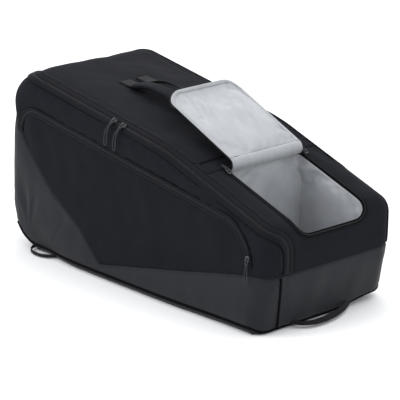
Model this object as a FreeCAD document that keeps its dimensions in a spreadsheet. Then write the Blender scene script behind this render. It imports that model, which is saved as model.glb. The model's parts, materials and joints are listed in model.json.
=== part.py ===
"""A racket tournament bag: a long padded bag with two racket compartments and a shoe compartment.

Frame: millimetres, +X towards the handle end (the low end with the shoe compartment), -Y the front,
+Z up. The origin is on the floor under the middle of the bag's length and width.
"""

import FreeCAD, Part
import math
import os
import re

import Sketcher

Vector = FreeCAD.Vector
Rotation = FreeCAD.Rotation

SIZES = {
    # The side view of the body, as the corners of its profile before they are rounded.
    "half_width": 183,
    "profile_floor": 0.5,
    "base_level": 10,
    "head_foot_x": -406,
    "head_top_x": -390,
    "head_top_z": 403.5,
    "knee_x": 81,
    "knee_z": 325.5,
    "handle_top_x": 396,
    "handle_top_z": 220,
    "handle_belly_x": 397,
    "handle_belly_z": 120,
    "handle_foot_x": 367.5,
    "head_foot_round": 158,
    "head_top_round": 72,
    "knee_round": 500,
    "handle_top_round": 35,
    "handle_belly_round": 300,
    "handle_foot_round": 28,
    "edge_round": 40,
    "wall": 5,
    "beyond": 460,
    # Where the wall is divided into panels.
    "base_seam": 16,
    "fold_level": 115,
    "fold_gap": 0.8,
    "end_seam": 123,
    "zip_drop": 9,
    "zip_gap": 1.5,
    "zip_end_y": 126,
    "zip_turn_low": 175,
    "zip_turn_high": 205,
    "zip_turn_run": 26,
    "tape_width": 9,
    "tape_lift": 0.3,
    "tape_top": 2.1,
    "frame_tape_drop": 7,
    # The flat pocket on each side.
    "pocket_left": -364,
    "pocket_right": 354,
    "pocket_left_top": 328,
    "pocket_right_top": 222,
    "pocket_round": 60,
    "pocket_zip_width": 18,
    "pocket_thick": 5.3,
    "pocket_zip_end": 140,
    # The shoe compartment and its flap.
    "shoe_hinge_x": 191,
    "shoe_half_width": 102,
    "shoe_lip": 197,
    "shoe_flap_tip": 207,
    "shoe_round": 38,
    "flap_gap": 2,
    "flap_tape": 10,
    "flap_outer": 3,
    "flap_axis_rise": 10.5,
    "flap_open_angle": 175,
    "liner_gap": 6,
    "liner_wall": 2,
    "liner_floor": 60,
    "divider_thick": 8,
    # Webbing, straps and handles.
    "web_thick": 2.5,
    "carry_x": -67,
    "carry_half_span": 104,
    "carry_y": 24,
    "carry_width": 30,
    "carry_rise": 22,
    "carry_axis_lift": 8,
    "carry_end_lift": 6,
    "carry_thick": 3.5,
    "patch_length": 30,
    "patch_lift": 0.4,
    "wrap_half_span": 58,
    "wrap_thick": 11,
    "wrap_width": 36,
    "grab_axis_x": 376,
    "grab_axis_z": 13.5,
    "grab_half_span": 88,
    "grab_reach": 26.3,
    "grab_web": 20,
    "grab_centre_y": 0,
    "strap_length": 430,
    "strap_width": 66,
    "strap_y": 78,
    "strap_x": 0,
    "tail_length": 80,
    "tail_width": 25,
    "buckle_length": 32,
    "buckle_width": 34,
    "buckle_thick": 5,
    "buckle_rim": 5,
    "buckle_slot": 8,
    "buckle_bar": 6,
    "buckle_reach": 55,
    "loop_x": -282,
    "loop_axis_y": 174,
    "loop_half_span": 46,
    "loop_reach": 28,
    "loop_web": 7,
    "loop_axis_z": 5.5,
    "board_start": -270,
    "board_end": 330,
    "board_half_width": 150,
    "board_thick": 3,
    # Zip sliders and pulls.
    "slider_length": 15,
    "slider_wide": 11,
    "slider_narrow": 8,
    "slider_thick": 3.6,
    "slider_round": 2.5,
    "slider_lift": 2.4,
    "bail_outer": 4.2,
    "bail_inner": 2.8,
    "bail_thick": 2,
    "pin_radius": 0.9,
    "pin_rise": 1.6,
    "band_angle": 37.5,
    "pull_width": 9,
    "pull_arm": 9,
    "arm_width": 1.6,
    "pull_thick": 2.2,
    "main_pull_lean": 53,
    "main_pull_upper": 22,
    "main_pull_lower": 42,
    "pocket_pull": 44,
    "shoe_pull": 24,
    "slider_head_x": -67,
    "slider_handle_x": -40,
    "pocket_slider_z": 158,
    "shoe_slider_x": 206,
}

# The fall of the top line per millimetre, in the head part and in the handle part.
HEAD_FALL = "(head_top_z - knee_z) / (knee_x - head_top_x)"
HANDLE_FALL = "(knee_z - handle_top_z) / (handle_top_x - knee_x)"

document = FreeCAD.newDocument("RacketBag")
nodes = []


def fill_sheet():
    """Puts every driving dimension into the sheet as a plain number with an alias."""
    sheet = document.addObject("Spreadsheet::Sheet", "Sizes")
    for row, (alias, number) in enumerate(SIZES.items(), start=1):
        sheet.set(f"A{row}", alias)
        sheet.set(f"B{row}", str(number))
        sheet.setAlias(f"B{row}", alias)
    document.recompute()
    return sheet


def bound(text):
    """An expression on the sheet, from one written with bare aliases."""
    return re.sub(r"[a-z][a-z_]*", lambda word: "Sizes." + word.group(), text)


def value(text):
    """The number that an expression written with bare aliases has now."""
    return float(sheet.evalExpression(bound(text)))


def head_line(x):
    """The height of the top line over x, in the head part."""
    return f"knee_z + (knee_x - ({x})) * {HEAD_FALL}"


def handle_line(x):
    """The height of the top line over x, in the handle part."""
    return f"knee_z - (({x}) - knee_x) * {HANDLE_FALL}"


def origin_plane(body, role):
    """One of a body's own origin planes, by its role."""
    return [plane for plane in body.Origin.OriginFeatures if plane.Role == role][0]


def outline(body, plane, corners):
    """A closed sketch of straight sides on an origin plane, each corner bound to the sheet."""
    sketch = body.newObject("Sketcher::SketchObject", body.Name + "_outline")
    sketch.AttachmentSupport = [(origin_plane(body, plane), "")]
    sketch.MapMode = "FlatFace"
    points = [Vector(value(across), value(up), 0) for across, up in corners]
    following = points[1:] + points[:1]
    for point, following_point in zip(points, following):
        sketch.addGeometry(Part.LineSegment(point, following_point), False)
    count = len(points)
    for index in range(count):
        meeting = ("Coincident", index, 2, (index + 1) % count, 1)
        sketch.addConstraint(Sketcher.Constraint(*meeting))
    for index, corner in enumerate(corners):
        for kind, text in zip(("DistanceX", "DistanceY"), corner):
            size = Sketcher.Constraint(kind, -1, 1, index, 1, value(text))
            number = sketch.addConstraint(size)
            sketch.setExpression(f"Constraints[{number}]", bound(text))
    return sketch


def upright_edges(shape, plane, corner):
    """The edges of a prism that stand on one corner of its outline."""
    across, up = value(corner[0]), value(corner[1])
    found = []
    for number, edge in enumerate(shape.Edges, start=1):
        ends = [edge.Vertexes[0].Point, edge.Vertexes[-1].Point]
        flat = {
            "XZ_Plane": [(p.x, p.z) for p in ends],
            "YZ_Plane": [(p.y, p.z) for p in ends],
            "XY_Plane": [(p.x, p.y) for p in ends],
        }[plane]
        if all(math.dist(point, (across, up)) < 0.01 for point in flat):
            found.append(f"Edge{number}")
    return found


def rounded(body, base, edges, radius):
    """A fillet on a body's feature, which becomes the body's tip."""
    fillet = body.newObject("PartDesign::Fillet", body.Name + "_round")
    fillet.Base = (base, edges)
    fillet.setExpression("Radius", bound(radius))
    document.recompute()
    return fillet


def prism(name, plane, corners, depth, rounds=None):
    """A body padded both ways from an outline, with the corners named in rounds made round."""
    body = document.addObject("PartDesign::Body", name)
    pad = body.newObject("PartDesign::Pad", name + "_pad")
    pad.Profile = outline(body, plane, corners)
    pad.Midplane = True
    pad.setExpression("Length", bound(depth))
    document.recompute()
    feature = pad
    for index, radius in (rounds or {}).items():
        edges = upright_edges(feature.Shape, plane, corners[index])
        feature = rounded(body, feature, edges, radius)
    return body


def box(name, low, high):
    """A box between two corners, each of three expressions."""
    solid = document.addObject("Part::Box", name)
    for side, axis, start, end in zip(("Length", "Width", "Height"), "xyz", low, high):
        solid.setExpression(side, bound(f"({end}) - ({start})"))
        solid.setExpression(f"Placement.Base.{axis}", bound(start))
    return solid


def cylinder(name, radius, length):
    """A cylinder along X, with its middle at the origin."""
    solid = document.addObject("Part::Cylinder", name)
    solid.setExpression("Radius", bound(radius))
    solid.setExpression("Height", bound(length))
    turned = Rotation(Vector(0, 1, 0), 90)
    solid.Placement = FreeCAD.Placement(Vector(-value(length) / 2, 0, 0), turned)
    return solid


def grown(name, form, distance):
    """The body's shape with its skin moved out, or in, by a distance, on a base moved as far."""
    skin = form
    if distance != "0":
        skin = document.addObject("Part::Offset", name + "_offset")
        skin.Source = form
        skin.setExpression("Value", bound(distance))
    low = ("-beyond", "-beyond", f"base_level - ({distance})")
    return common(name, skin, box(name + "_above", low, ("beyond", "beyond", "beyond")))


def common(name, *solids):
    result = document.addObject("Part::MultiCommon", name)
    result.Shapes = list(solids)
    return result


def fuse(name, *solids):
    result = document.addObject("Part::MultiFuse", name)
    result.Shapes = list(solids)
    return result


def cut(name, base, tool):
    result = document.addObject("Part::Cut", name)
    result.Base = base
    result.Tool = tool
    return result


def mirrored(name, source):
    """The same solid on the other side of the bag."""
    result = document.addObject("Part::Mirroring", name)
    result.Source = source
    result.Normal = Vector(0, 1, 0)
    return result


def moved(name, source, placement):
    """A copy of a solid, linked to it, somewhere else."""
    result = document.addObject("Part::Compound", name)
    result.Links = [source]
    result.Placement = placement
    return result


def node(label, solid):
    """Makes a solid a sub-part of the bag."""
    solid.Label = label
    nodes.append(solid)
    return solid


def node_pair(label, solid):
    """A front sub-part and its mirror image at the rear."""
    node("front_" + label, solid)
    node("rear_" + label, mirrored("rear_" + label, solid))


def body_form():
    """The outer shape of the bag: its side view padded to its width, with every edge rounded."""
    corners = [
        ("head_foot_x", "profile_floor"),
        ("head_top_x", "head_top_z"),
        ("knee_x", "knee_z"),
        ("handle_top_x", "handle_top_z"),
        ("handle_belly_x", "handle_belly_z"),
        ("handle_foot_x", "profile_floor"),
    ]
    names = ("head_foot", "head_top", "knee", "handle_top", "handle_belly", "handle_foot")
    rounds = {index: name + "_round" for index, name in enumerate(names)}
    body = prism("form_body", "XZ_Plane", corners, "2 * half_width", rounds)
    half = value("half_width")
    edges = [
        f"Edge{number}"
        for number, edge in enumerate(body.Shape.Edges, start=1)
        if all(abs(abs(vertex.Y) - half) < 0.01 for vertex in edge.Vertexes)
        and len({vertex.Y > 0 for vertex in edge.Vertexes}) == 1
    ]
    rounded(body, body.Tip, edges, "edge_round")
    return body


def cover_zone(name, gap, drop, level):
    """The space of the front cover: below the zip line, outside the zip's ends and above a level."""
    side = prism(
        name + "_side",
        "XZ_Plane",
        [
            ("-beyond", level),
            ("beyond", level),
            ("beyond", f"{handle_line('beyond')} - ({drop})"),
            ("knee_x", f"knee_z - ({drop})"),
            ("-beyond", f"{head_line('-beyond')} - ({drop})"),
        ],
        "2 * beyond",
    )
    end = prism(
        name + "_end",
        "YZ_Plane",
        [
            ("-beyond", "1"),
            (f"-zip_end_y + ({gap})", "1"),
            (f"-zip_end_y + ({gap})", f"zip_turn_low + ({gap})"),
            (f"-zip_end_y - zip_turn_run + ({gap})", f"zip_turn_high + ({gap})"),
            (f"-zip_end_y - zip_turn_run + ({gap})", "beyond"),
            ("-beyond", "beyond"),
        ],
        "2 * beyond",
    )
    return common(name, side, end)


def pocket_zone(name, inset):
    """The space of the side pocket, in side view, with its top corners rounded."""
    corners = [
        (f"pocket_left + ({inset})", "base_seam"),
        (f"pocket_right - ({inset})", "base_seam"),
        (f"pocket_right - ({inset})", f"pocket_right_top - ({inset})"),
        (f"pocket_left + ({inset})", f"pocket_left_top - ({inset})"),
    ]
    rounds = {2: f"pocket_round - ({inset})", 3: f"pocket_round - ({inset})"}
    side = prism(name + "_side", "XZ_Plane", corners, "2 * beyond", rounds)
    low = ("-beyond", "-beyond", "fold_level + fold_gap")
    front = box(name + "_front", low, ("beyond", "0", "beyond"))
    return common(name, side, front)


def shoe_zone(name, inset, lip):
    """The space of the shoe opening, through the top and down over the handle end."""
    half = f"shoe_half_width - ({inset})"
    corners = [(f"-({half})", "beyond"), (f"-({half})", lip), (half, lip), (half, "beyond")]
    rounds = {1: "shoe_round", 2: "shoe_round"}
    end = prism(name + "_end", "YZ_Plane", corners, "2 * beyond", rounds)
    low = (f"shoe_hinge_x + ({inset})", "-beyond", "0")
    return common(name, end, box(name + "_length", low, ("beyond", "beyond", "beyond")))


def layer(name, form, outer, inner):
    """The space between two skins of the body, at distances out from its surface."""
    outside = grown(name + "_outside", form, outer)
    return cut(name, outside, grown(name + "_inside", form, inner))


def wall_panels(form, shell):
    """The sewn panels of the body: base, skirts, ends, top and shoe rim, and the two side covers."""
    drop = "zip_drop + zip_gap"
    cover_space = cover_zone("cover_space", "-zip_gap", drop, "fold_level + fold_gap")
    node_pair("cover", common("front_cover", shell, cover_space))

    clear = cover_zone("cover_clear", "zip_gap", "zip_drop - zip_gap", "fold_level - fold_gap")
    both = fuse("covers_clear", clear, mirrored("rear_clear", clear))
    frame_shell = cut("frame_shell", shell, both)

    far = "beyond"
    low_base = box("low_base", ("-beyond", "-beyond", "0"), (far, far, "base_seam"))
    node("base_panel", common("base_panel", frame_shell, low_base))

    level = "fold_level - fold_gap"
    skirt_low = ("-beyond", "-beyond", "base_seam")
    skirt = box("skirt_space", skirt_low, (far, "-zip_end_y", level))
    node_pair("skirt", common("front_skirt", frame_shell, skirt))

    corners = [
        ("-beyond", f"{head_line('-beyond')} - zip_drop"),
        ("knee_x", "knee_z - zip_drop"),
        (far, f"{handle_line('beyond')} - zip_drop"),
        (far, "2 * beyond"),
        ("-beyond", "2 * beyond"),
    ]
    above_zip = prism("above_zip", "XZ_Plane", corners, "2 * beyond")
    top = common("top_shell", frame_shell, above_zip)
    head_side = box("head_side", ("-beyond", "-beyond", "0"), ("shoe_hinge_x", far, far))
    node("top_panel", common("top_panel", top, head_side))

    opening = shoe_zone("shoe_opening", "0", "shoe_lip")
    rim = cut("rim_shell", top, opening)
    rim_side = box("rim_side", ("shoe_hinge_x", "-beyond", "0"), (far, "0", far))
    node_pair("shoe_rim", common("front_shoe_rim", rim, rim_side))

    under_zip = cut("under_zip", frame_shell, above_zip)
    for end, start, stop in (("head", "-beyond", "-half_width"), ("handle", "half_width", far)):
        low, high = (start, "-zip_end_y", "base_seam"), (stop, "zip_end_y", "end_seam")
        skirt_end = box(f"{end}_low", low, high)
        node(f"{end}_end_skirt", common(f"{end}_end_skirt", under_zip, skirt_end))
        low, high = (start, "-half_width", "end_seam"), (stop, "half_width", far)
        upper = common(f"{end}_upper", under_zip, box(f"{end}_high", low, high))
        node(f"{end}_end_panel", cut(f"{end}_end_panel", upper, opening))
    return opening


def zip_tapes(form, opening):
    """The tapes sewn along each side of each zip, on the outside of the wall."""
    skin = layer("tape_skin", form, "tape_top", "tape_lift")
    gap, drop = "zip_gap", "zip_drop + zip_gap"
    level = "fold_level + fold_gap"
    inner = cover_zone("cover_tape_inner", "-tape_width - zip_gap", f"{drop} + tape_width", level)
    outer = cover_zone("cover_tape_outer", "-zip_gap", drop, level)
    cover_tape = common("cover_tape_skin", skin, cut("cover_tape_zone", outer, inner))
    node_pair("cover_zip_tape", cover_tape)

    level = "end_seam"
    near = cover_zone("frame_tape_inner", gap, "zip_drop - zip_gap", level)
    far = cover_zone("frame_tape_outer", "zip_gap + tape_width", "zip_drop - frame_tape_drop", level)
    frame_tape = common("frame_tape_skin", skin, cut("frame_tape_zone", far, near))
    node_pair("frame_zip_tape", frame_tape)

    rim = shoe_zone("rim_tape_zone", "-flap_tape", "shoe_lip - flap_tape")
    low = ("shoe_hinge_x", "-beyond", "0")
    past_hinge = box("past_hinge", low, ("beyond", "beyond", "beyond"))
    rim_tape = common("rim_tape_skin", skin, cut("rim_tape_ring", rim, opening), past_hinge)
    node("shoe_zip_tape", rim_tape)

    middle = "(pocket_left + pocket_right) / 2"
    outer = pocket_zone("pocket_outer", "0")
    inner = pocket_zone("pocket_inner", "pocket_zip_width")
    ring = cut("pocket_ring", outer, inner)
    low = (middle, "-beyond", "pocket_zip_end")
    right = box("pocket_right_part", low, ("beyond", "0", "beyond"))
    low = ("-beyond", "-beyond", "pocket_left_top - 2 * pocket_round")
    left = box("pocket_left_part", low, (middle, "0", "beyond"))
    stretch = fuse("pocket_zip_stretch", left, right)
    room = cover_zone("pocket_tape_room", "-tape_width - zip_gap - 1", f"{drop} + tape_width + 1", "0")
    node_pair("pocket_zip_tape", common("pocket_tape_skin", skin, ring, stretch, room))


def pockets(form):
    """The flat padded pocket on each cover."""
    skin = layer("pocket_skin", form, "pocket_thick", "tape_lift")
    zone = pocket_zone("pocket_panel_zone", "pocket_zip_width + 1")
    node_pair("pocket_panel", common("pocket_panel_skin", skin, zone))


def flap_turn():
    """The placement that swings the shoe flap from shut to its stored place, folded back."""
    fall = value(HANDLE_FALL)
    slope = math.atan(fall)
    rise = value("flap_axis_rise")
    x = value("shoe_hinge_x") + rise * math.sin(slope)
    z = value(handle_line("shoe_hinge_x")) + rise * math.cos(slope)
    turn = Rotation(Vector(0, -1, 0), value("flap_open_angle"))
    return FreeCAD.Placement(Vector(0, 0, 0), turn, Vector(x, 0, z))


def shoe_flap(form):
    """The flap over the shoe compartment, made shut and then swung back."""
    panel_zone = shoe_zone("flap_panel_zone", "flap_gap + flap_tape", "shoe_flap_tip + flap_tape")
    outer_wall = layer("flap_outer_wall", form, "0", "-flap_outer")
    panel = common("flap_panel_shut", outer_wall, panel_zone)
    node("shoe_flap_panel", moved("shoe_flap_panel", panel, flap_turn()))

    inner_wall = layer("flap_inner_wall", form, "-flap_outer - 0.2", "-wall")
    lining = common("flap_lining_shut", inner_wall, panel_zone)
    node("shoe_flap_lining", moved("shoe_flap_lining", lining, flap_turn()))

    whole = shoe_zone("flap_whole_zone", "flap_gap", "shoe_flap_tip")
    tape_wall = layer("flap_tape_wall", form, "-0.8", "-flap_outer + 0.4")
    tape = common("flap_tape_shut", tape_wall, cut("flap_tape_ring", whole, panel_zone))
    node("shoe_flap_zip_tape", moved("shoe_flap_zip_tape", tape, flap_turn()))


def inside(form):
    """What the bag holds inside: the shoe liner, the divider and the base board."""
    liner_outer = grown("liner_outer_form", form, "-liner_gap")
    liner_inner = grown("liner_inner_form", form, "-liner_gap - liner_wall")
    half = "shoe_half_width + 8"
    low, high = ("shoe_hinge_x + 4", f"-({half})", "liner_floor"), ("beyond", half, "beyond")
    outside = common("liner_outside", liner_outer, box("liner_outer_box", low, high))
    half = f"{half} - liner_wall"
    low = ("shoe_hinge_x + 4 + liner_wall", f"-({half})", "liner_floor + liner_wall")
    room = common("liner_room", liner_inner, box("liner_inner_box", low, ("beyond", half, "beyond")))
    tub = cut("liner_tub", outside, room)
    mouth = shoe_zone("liner_mouth", "-1", "shoe_lip")
    node("shoe_liner", cut("shoe_liner", tub, mouth))

    core = grown("divider_form", form, "-wall - 1")
    low = ("-beyond", "-divider_thick / 2", "base_level + wall + 5")
    high = ("shoe_hinge_x - 2", "divider_thick / 2", "beyond")
    node("centre_divider", common("centre_divider", core, box("divider_box", low, high)))

    low = ("board_start", "-board_half_width", "base_level + wall + 0.5")
    high = ("board_end", "board_half_width", "base_level + wall + 0.5 + board_thick")
    node("base_board", box("base_board", low, high))


def bow(name, plane, span, rise, half_length, thick, width):
    """A strip bent to a shallow arc: its middle line passes through span either side and rises between.

    It lies across the plane's own X axis, and only the part within half_length of the middle is made.
    """
    curve = f"((({span})^2 + ({rise})^2) / (2 * ({rise})))"
    radius = value(curve)
    half_angle = math.asin(value(half_length) / radius)
    start, end = math.pi / 2 - half_angle, math.pi / 2 + half_angle
    middle = Vector(0, value(rise) - radius, 0)
    body = document.addObject("PartDesign::Body", name)
    sketch = body.newObject("Sketcher::SketchObject", name + "_outline")
    sketch.AttachmentSupport = [(origin_plane(body, plane), "")]
    sketch.MapMode = "FlatFace"
    ends = []
    for index, side in enumerate(("- ", "+ ")):
        ring = f"{curve} {side} ({thick}) / 2"
        size = value(ring)
        circle = Part.Circle(middle, Vector(0, 0, 1), size)
        sketch.addGeometry(Part.ArcOfCircle(circle, start, end), False)
        number = sketch.addConstraint(Sketcher.Constraint("Radius", index, size))
        sketch.setExpression(f"Constraints[{number}]", bound(ring))
        ends.append([middle + Vector(math.cos(a), math.sin(a), 0) * size for a in (start, end)])
    for inner, outer in zip(*ends):
        sketch.addGeometry(Part.LineSegment(inner, outer), False)
    pad = body.newObject("PartDesign::Pad", name + "_pad")
    pad.Profile = sketch
    pad.Midplane = True
    pad.setExpression("Length", bound(width))
    return body


def on_head_slope(x, y, lift):
    """A placement on the head part of the top, tilted with it and lifted off it."""
    slope = math.atan(value(HEAD_FALL))
    height = value(head_line(str(x)))
    place = Vector(x + lift * math.sin(slope), y, height + lift * math.cos(slope))
    return FreeCAD.Placement(place, Rotation(Vector(0, 1, 0), math.degrees(slope)))


def carry_handles():
    """Two webbing handles on the top, each between two sewn patches, and the wrap on the front one."""
    arc = ("XZ_Plane", "carry_half_span", "carry_rise")
    webbing = bow("carry_web", *arc, "carry_half_span", "carry_thick", "carry_width")
    sleeve = bow("wrap_sleeve", *arc, "wrap_half_span", "wrap_thick", "wrap_width")
    slot = ("wrap_half_span + 2", "carry_thick + 0.4", "carry_width + 0.4")
    wrap = cut("wrap_shape", sleeve, bow("wrap_core", *arc, *slot))
    x, y = value("carry_x"), value("carry_y")
    lift = value("carry_axis_lift + carry_end_lift")
    placement = on_head_slope(x, -y, lift)
    node("front_carry_handle", moved("front_carry_handle", webbing, placement))
    node("rear_carry_handle", moved("rear_carry_handle", webbing, on_head_slope(x, y, lift)))
    node("carry_handle_wrap", moved("carry_handle_wrap", wrap, placement))

    low = ("-patch_length / 2", "-carry_width / 2", "0")
    high = ("patch_length / 2", "carry_width / 2", "web_thick")
    patch = box("patch_shape", low, high)
    reach = value("carry_half_span + patch_length / 2 + 1")
    places = [(x + end * reach, side * y) for side in (-1, 1) for end in (-1, 1)]
    patches = [
        moved(f"patch_{index}", patch, on_head_slope(*place, value("patch_lift")))
        for index, place in enumerate(places)
    ]
    node("carry_handle_patches", fuse("carry_handle_patches", *patches))


def floor_loops():
    """The webbing grab handle low on the handle end, and the small loop under each long edge."""
    span = ("grab_half_span", "grab_reach - web_thick / 2", "grab_half_span")
    grab = bow("grab_loop", "XY_Plane", *span, "web_thick", "grab_web")
    place = Vector(value("grab_axis_x"), value("grab_centre_y"), value("grab_axis_z"))
    towards_handle_end = Rotation(Vector(0, 0, 1), -90)
    placement = FreeCAD.Placement(place, towards_handle_end)
    node("end_grab_handle", moved("end_grab_handle", grab, placement))

    span = ("loop_half_span", "loop_reach - web_thick / 2", "loop_half_span")
    loop = bow("edge_loop", "XY_Plane", *span, "web_thick", "loop_web")
    place = Vector(value("loop_x"), -value("loop_axis_y"), value("loop_axis_z"))
    outward = Rotation(Vector(0, 0, 1), 180)
    placement = FreeCAD.Placement(place, outward)
    node_pair("edge_loop", moved("front_edge_loop", loop, placement))


def shoulder_straps():
    """The padded shoulder straps, stowed flat under the base, with their webbing tails and buckles."""
    half_long, half_wide = "strap_length / 2", "strap_width / 2"
    corners = [
        (f"-{half_long}", f"-{half_wide}"),
        (half_long, f"-{half_wide}"),
        (half_long, half_wide),
        (f"-{half_long}", half_wide),
    ]
    rounds = {index: "strap_width / 2 - 1" for index in range(4)}
    pad = prism("strap_shape", "XY_Plane", corners, "base_level", rounds)
    centre = Vector(value("strap_x"), -value("strap_y"), value("base_level") / 2)
    placement = FreeCAD.Placement(centre, Rotation())
    node_pair("shoulder_strap", moved("front_strap", pad, placement))

    end = "strap_x - strap_length / 2"
    low = (f"{end} - tail_length", "-strap_y - tail_width / 2", "base_level - web_thick")
    high = (end, "-strap_y + tail_width / 2", "base_level")
    node_pair("strap_webbing", box("strap_tail_shape", low, high))

    low = ("0", "-buckle_width / 2", "0")
    frame = box("buckle_frame", low, ("buckle_length", "buckle_width / 2", "buckle_thick"))
    slots = []
    for index in range(2):
        start = f"buckle_rim + {index} * (buckle_slot + buckle_bar)"
        low = (start, "-tail_width / 2 - 0.5", "-1")
        high = (f"{start} + buckle_slot", "tail_width / 2 + 0.5", "buckle_thick + 1")
        slots.append(box(f"buckle_slot_{index}", low, high))
    buckle = cut("buckle_shape", frame, fuse("buckle_slots", *slots))
    x = value("strap_x - strap_length / 2 - buckle_reach")
    z = value("base_level - web_thick - buckle_thick - 0.3")
    placement = FreeCAD.Placement(Vector(x, -value("strap_y"), z), Rotation())
    node_pair("strap_buckle", moved("front_buckle", buckle, placement))


def slider_shape(name, bail_turn):
    """A zip slider at the origin, travelling along X on the XY plane, with its bail turned about Z."""
    half = "slider_length / 2"
    corners = [
        (f"-{half}", "-slider_narrow / 2"),
        (half, "-slider_wide / 2"),
        (half, "slider_wide / 2"),
        (f"-{half}", "slider_narrow / 2"),
    ]
    rounds = {index: "slider_round" for index in range(4)}
    plate = prism(name + "_plate", "XY_Plane", corners, "slider_thick", rounds)
    plate.Placement = FreeCAD.Placement(Vector(0, 0, value("slider_thick") / 2), Rotation())
    outer = cylinder(name + "_bail_outer", "bail_outer", "bail_thick")
    inner = cylinder(name + "_bail_inner", "bail_inner", "bail_thick + 2")
    ring = cut(name + "_bail_ring", outer, inner)
    low = ("-bail_thick", "-bail_outer - 1", "0")
    above = box(name + "_bail_above", low, ("bail_thick", "bail_outer + 1", "bail_outer + 1"))
    bail = common(name + "_bail", ring, above)
    top = Vector(0, 0, value("slider_thick"))
    turned = FreeCAD.Placement(top, Rotation(Vector(0, 0, 1), bail_turn))
    return fuse(name, plate, moved(name + "_bail_placed", bail, turned))


def pull_shape(name, length):
    """A pull that hangs from a pin along X at the origin: the pin, two arms and a flat tab below."""
    pieces = [cylinder(name + "_pin", "pin_radius", "pull_width")]
    side = "pull_width / 2"
    arms = ((f"-{side}", f"arm_width - {side}"), (f"{side} - arm_width", side))
    for index, (start, end) in enumerate(arms):
        low, high = (start, "-pin_radius", "-pull_arm - 1"), (end, "pin_radius", "0")
        pieces.append(box(f"{name}_arm_{index}", low, high))
    low = ("-pull_width / 2", "-pull_thick / 2", f"-{length}")
    high = ("pull_width / 2", "pull_thick / 2", "-pull_arm")
    pieces.append(box(name + "_tab", low, high))
    return fuse(name, *pieces)


def main_pull():
    """The long pull of a main zip: it leaves the slider at a lean and then hangs down the cover."""
    upper = pull_shape("main_pull_straight", "main_pull_upper")
    lean = Rotation(Vector(1, 0, 0), -value("main_pull_lean"))
    leaning = moved("main_pull_leaning", upper, FreeCAD.Placement(Vector(), lean))
    low = ("-pull_width / 2", "-pull_thick / 2", "-main_pull_lower")
    lower = box("main_pull_lower_tab", low, ("pull_width / 2", "pull_thick / 2", "1"))
    end = lean.multVec(Vector(0, 0, -value("main_pull_upper")))
    drop = Rotation(Vector(1, 0, 0), -4)
    hanging = moved("main_pull_hanging", lower, FreeCAD.Placement(end, drop))
    return fuse("main_pull_shape", leaning, hanging)


def main_zip_sliders():
    """Two sliders on each main zip, each with its long pull."""
    slider = slider_shape("main_slider", 0)
    pull = main_pull()
    angle = value("band_angle")
    slope = math.degrees(math.atan(value(HEAD_FALL)))
    tilt = Rotation(Vector(0, 1, 0), slope).multiply(Rotation(Vector(1, 0, 0), angle))
    for side, turn in (("head", 180), ("handle", 0)):
        x = value(f"slider_{side}_x")
        across, up = band_point(value("slider_lift"))
        place = Vector(x, across, value(head_line(f"slider_{side}_x")) + up)
        facing = Rotation(Vector(0, 0, 1), turn)
        placement = FreeCAD.Placement(place, tilt.multiply(facing))
        node_pair(f"zip_slider_{side}", moved(f"front_zip_slider_{side}", slider, placement))
        across, up = band_point(value("slider_lift + slider_thick + pin_rise"))
        place = Vector(x, across, value(head_line(f"slider_{side}_x")) + up)
        placement = FreeCAD.Placement(place, Rotation())
        node_pair(f"zip_pull_{side}", moved(f"front_zip_pull_{side}", pull, placement))


def band_point(lift):
    """The y of the front main zip's centre, and its height from the top line, lifted off the wall."""
    round_size = value("edge_round")
    angle = math.radians(value("band_angle"))
    reach = round_size + lift
    across = -(value("half_width") - round_size + reach * math.sin(angle))
    return across, reach * math.cos(angle) - round_size


def pocket_zip_sliders():
    """The slider at the low end of each pocket zip, with its hanging pull."""
    slider = slider_shape("pocket_slider_shape", 90)
    pull = pull_shape("pocket_pull_shape", "pocket_pull")
    x = value("pocket_right - pocket_zip_width / 2")
    surface = -value("half_width")
    z = value("pocket_slider_z")
    outward = Rotation(Vector(0, 0, 1), Vector(-1, 0, 0), Vector(0, -1, 0))
    placement = FreeCAD.Placement(Vector(x, surface - value("slider_lift"), z), outward)
    node_pair("pocket_slider", moved("front_pocket_slider", slider, placement))
    reach = value("slider_lift + slider_thick + pin_rise")
    placement = FreeCAD.Placement(Vector(x, surface - reach, z), Rotation())
    node_pair("pocket_pull", moved("front_pocket_pull", pull, placement))


def shoe_zip_sliders():
    """The two sliders of the shoe zip, at the hinge end of its rim, with short pulls lying back."""
    slider = slider_shape("shoe_slider_shape", 90)
    pull = pull_shape("shoe_pull_shape", "shoe_pull")
    slope = math.atan(value(HANDLE_FALL))
    x = value("shoe_slider_x")
    y = -value("shoe_half_width + flap_tape / 2 + 1.5")
    height = value(handle_line("shoe_slider_x"))
    tilt = Rotation(Vector(0, 1, 0), math.degrees(slope))
    normal = Vector(math.sin(slope), 0, math.cos(slope))
    lift = value("slider_lift")
    placement = FreeCAD.Placement(Vector(x, y, height) + normal * lift, tilt)
    node_pair("shoe_slider", moved("front_shoe_slider", slider, placement))
    lift = value("slider_lift + slider_thick + pin_rise")
    flat = tilt.multiply(Rotation(Vector(0, 1, 0), Vector(0, 0, 1), Vector(1, 0, 0)))
    placement = FreeCAD.Placement(Vector(x, y, height) + normal * lift, flat)
    node_pair("shoe_pull", moved("front_shoe_pull", pull, placement))


def check():
    """Stops the build if any object failed or any sub-part isn't a valid solid."""
    document.recompute()
    for item in document.Objects:
        if "Invalid" in item.State or "Error" in item.State:
            raise RuntimeError(f"{item.Name} failed: {item.State}")
    for item in nodes:
        shape = item.Shape
        if shape.isNull() or not shape.isValid() or not shape.Solids:
            raise RuntimeError(f"{item.Label} is not a valid solid")


def write():
    """Writes each sub-part to its own STEP file."""
    os.makedirs("parts", exist_ok=True)
    for item in nodes:
        item.Shape.exportStep(f"parts/{item.Label}.step")


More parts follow.
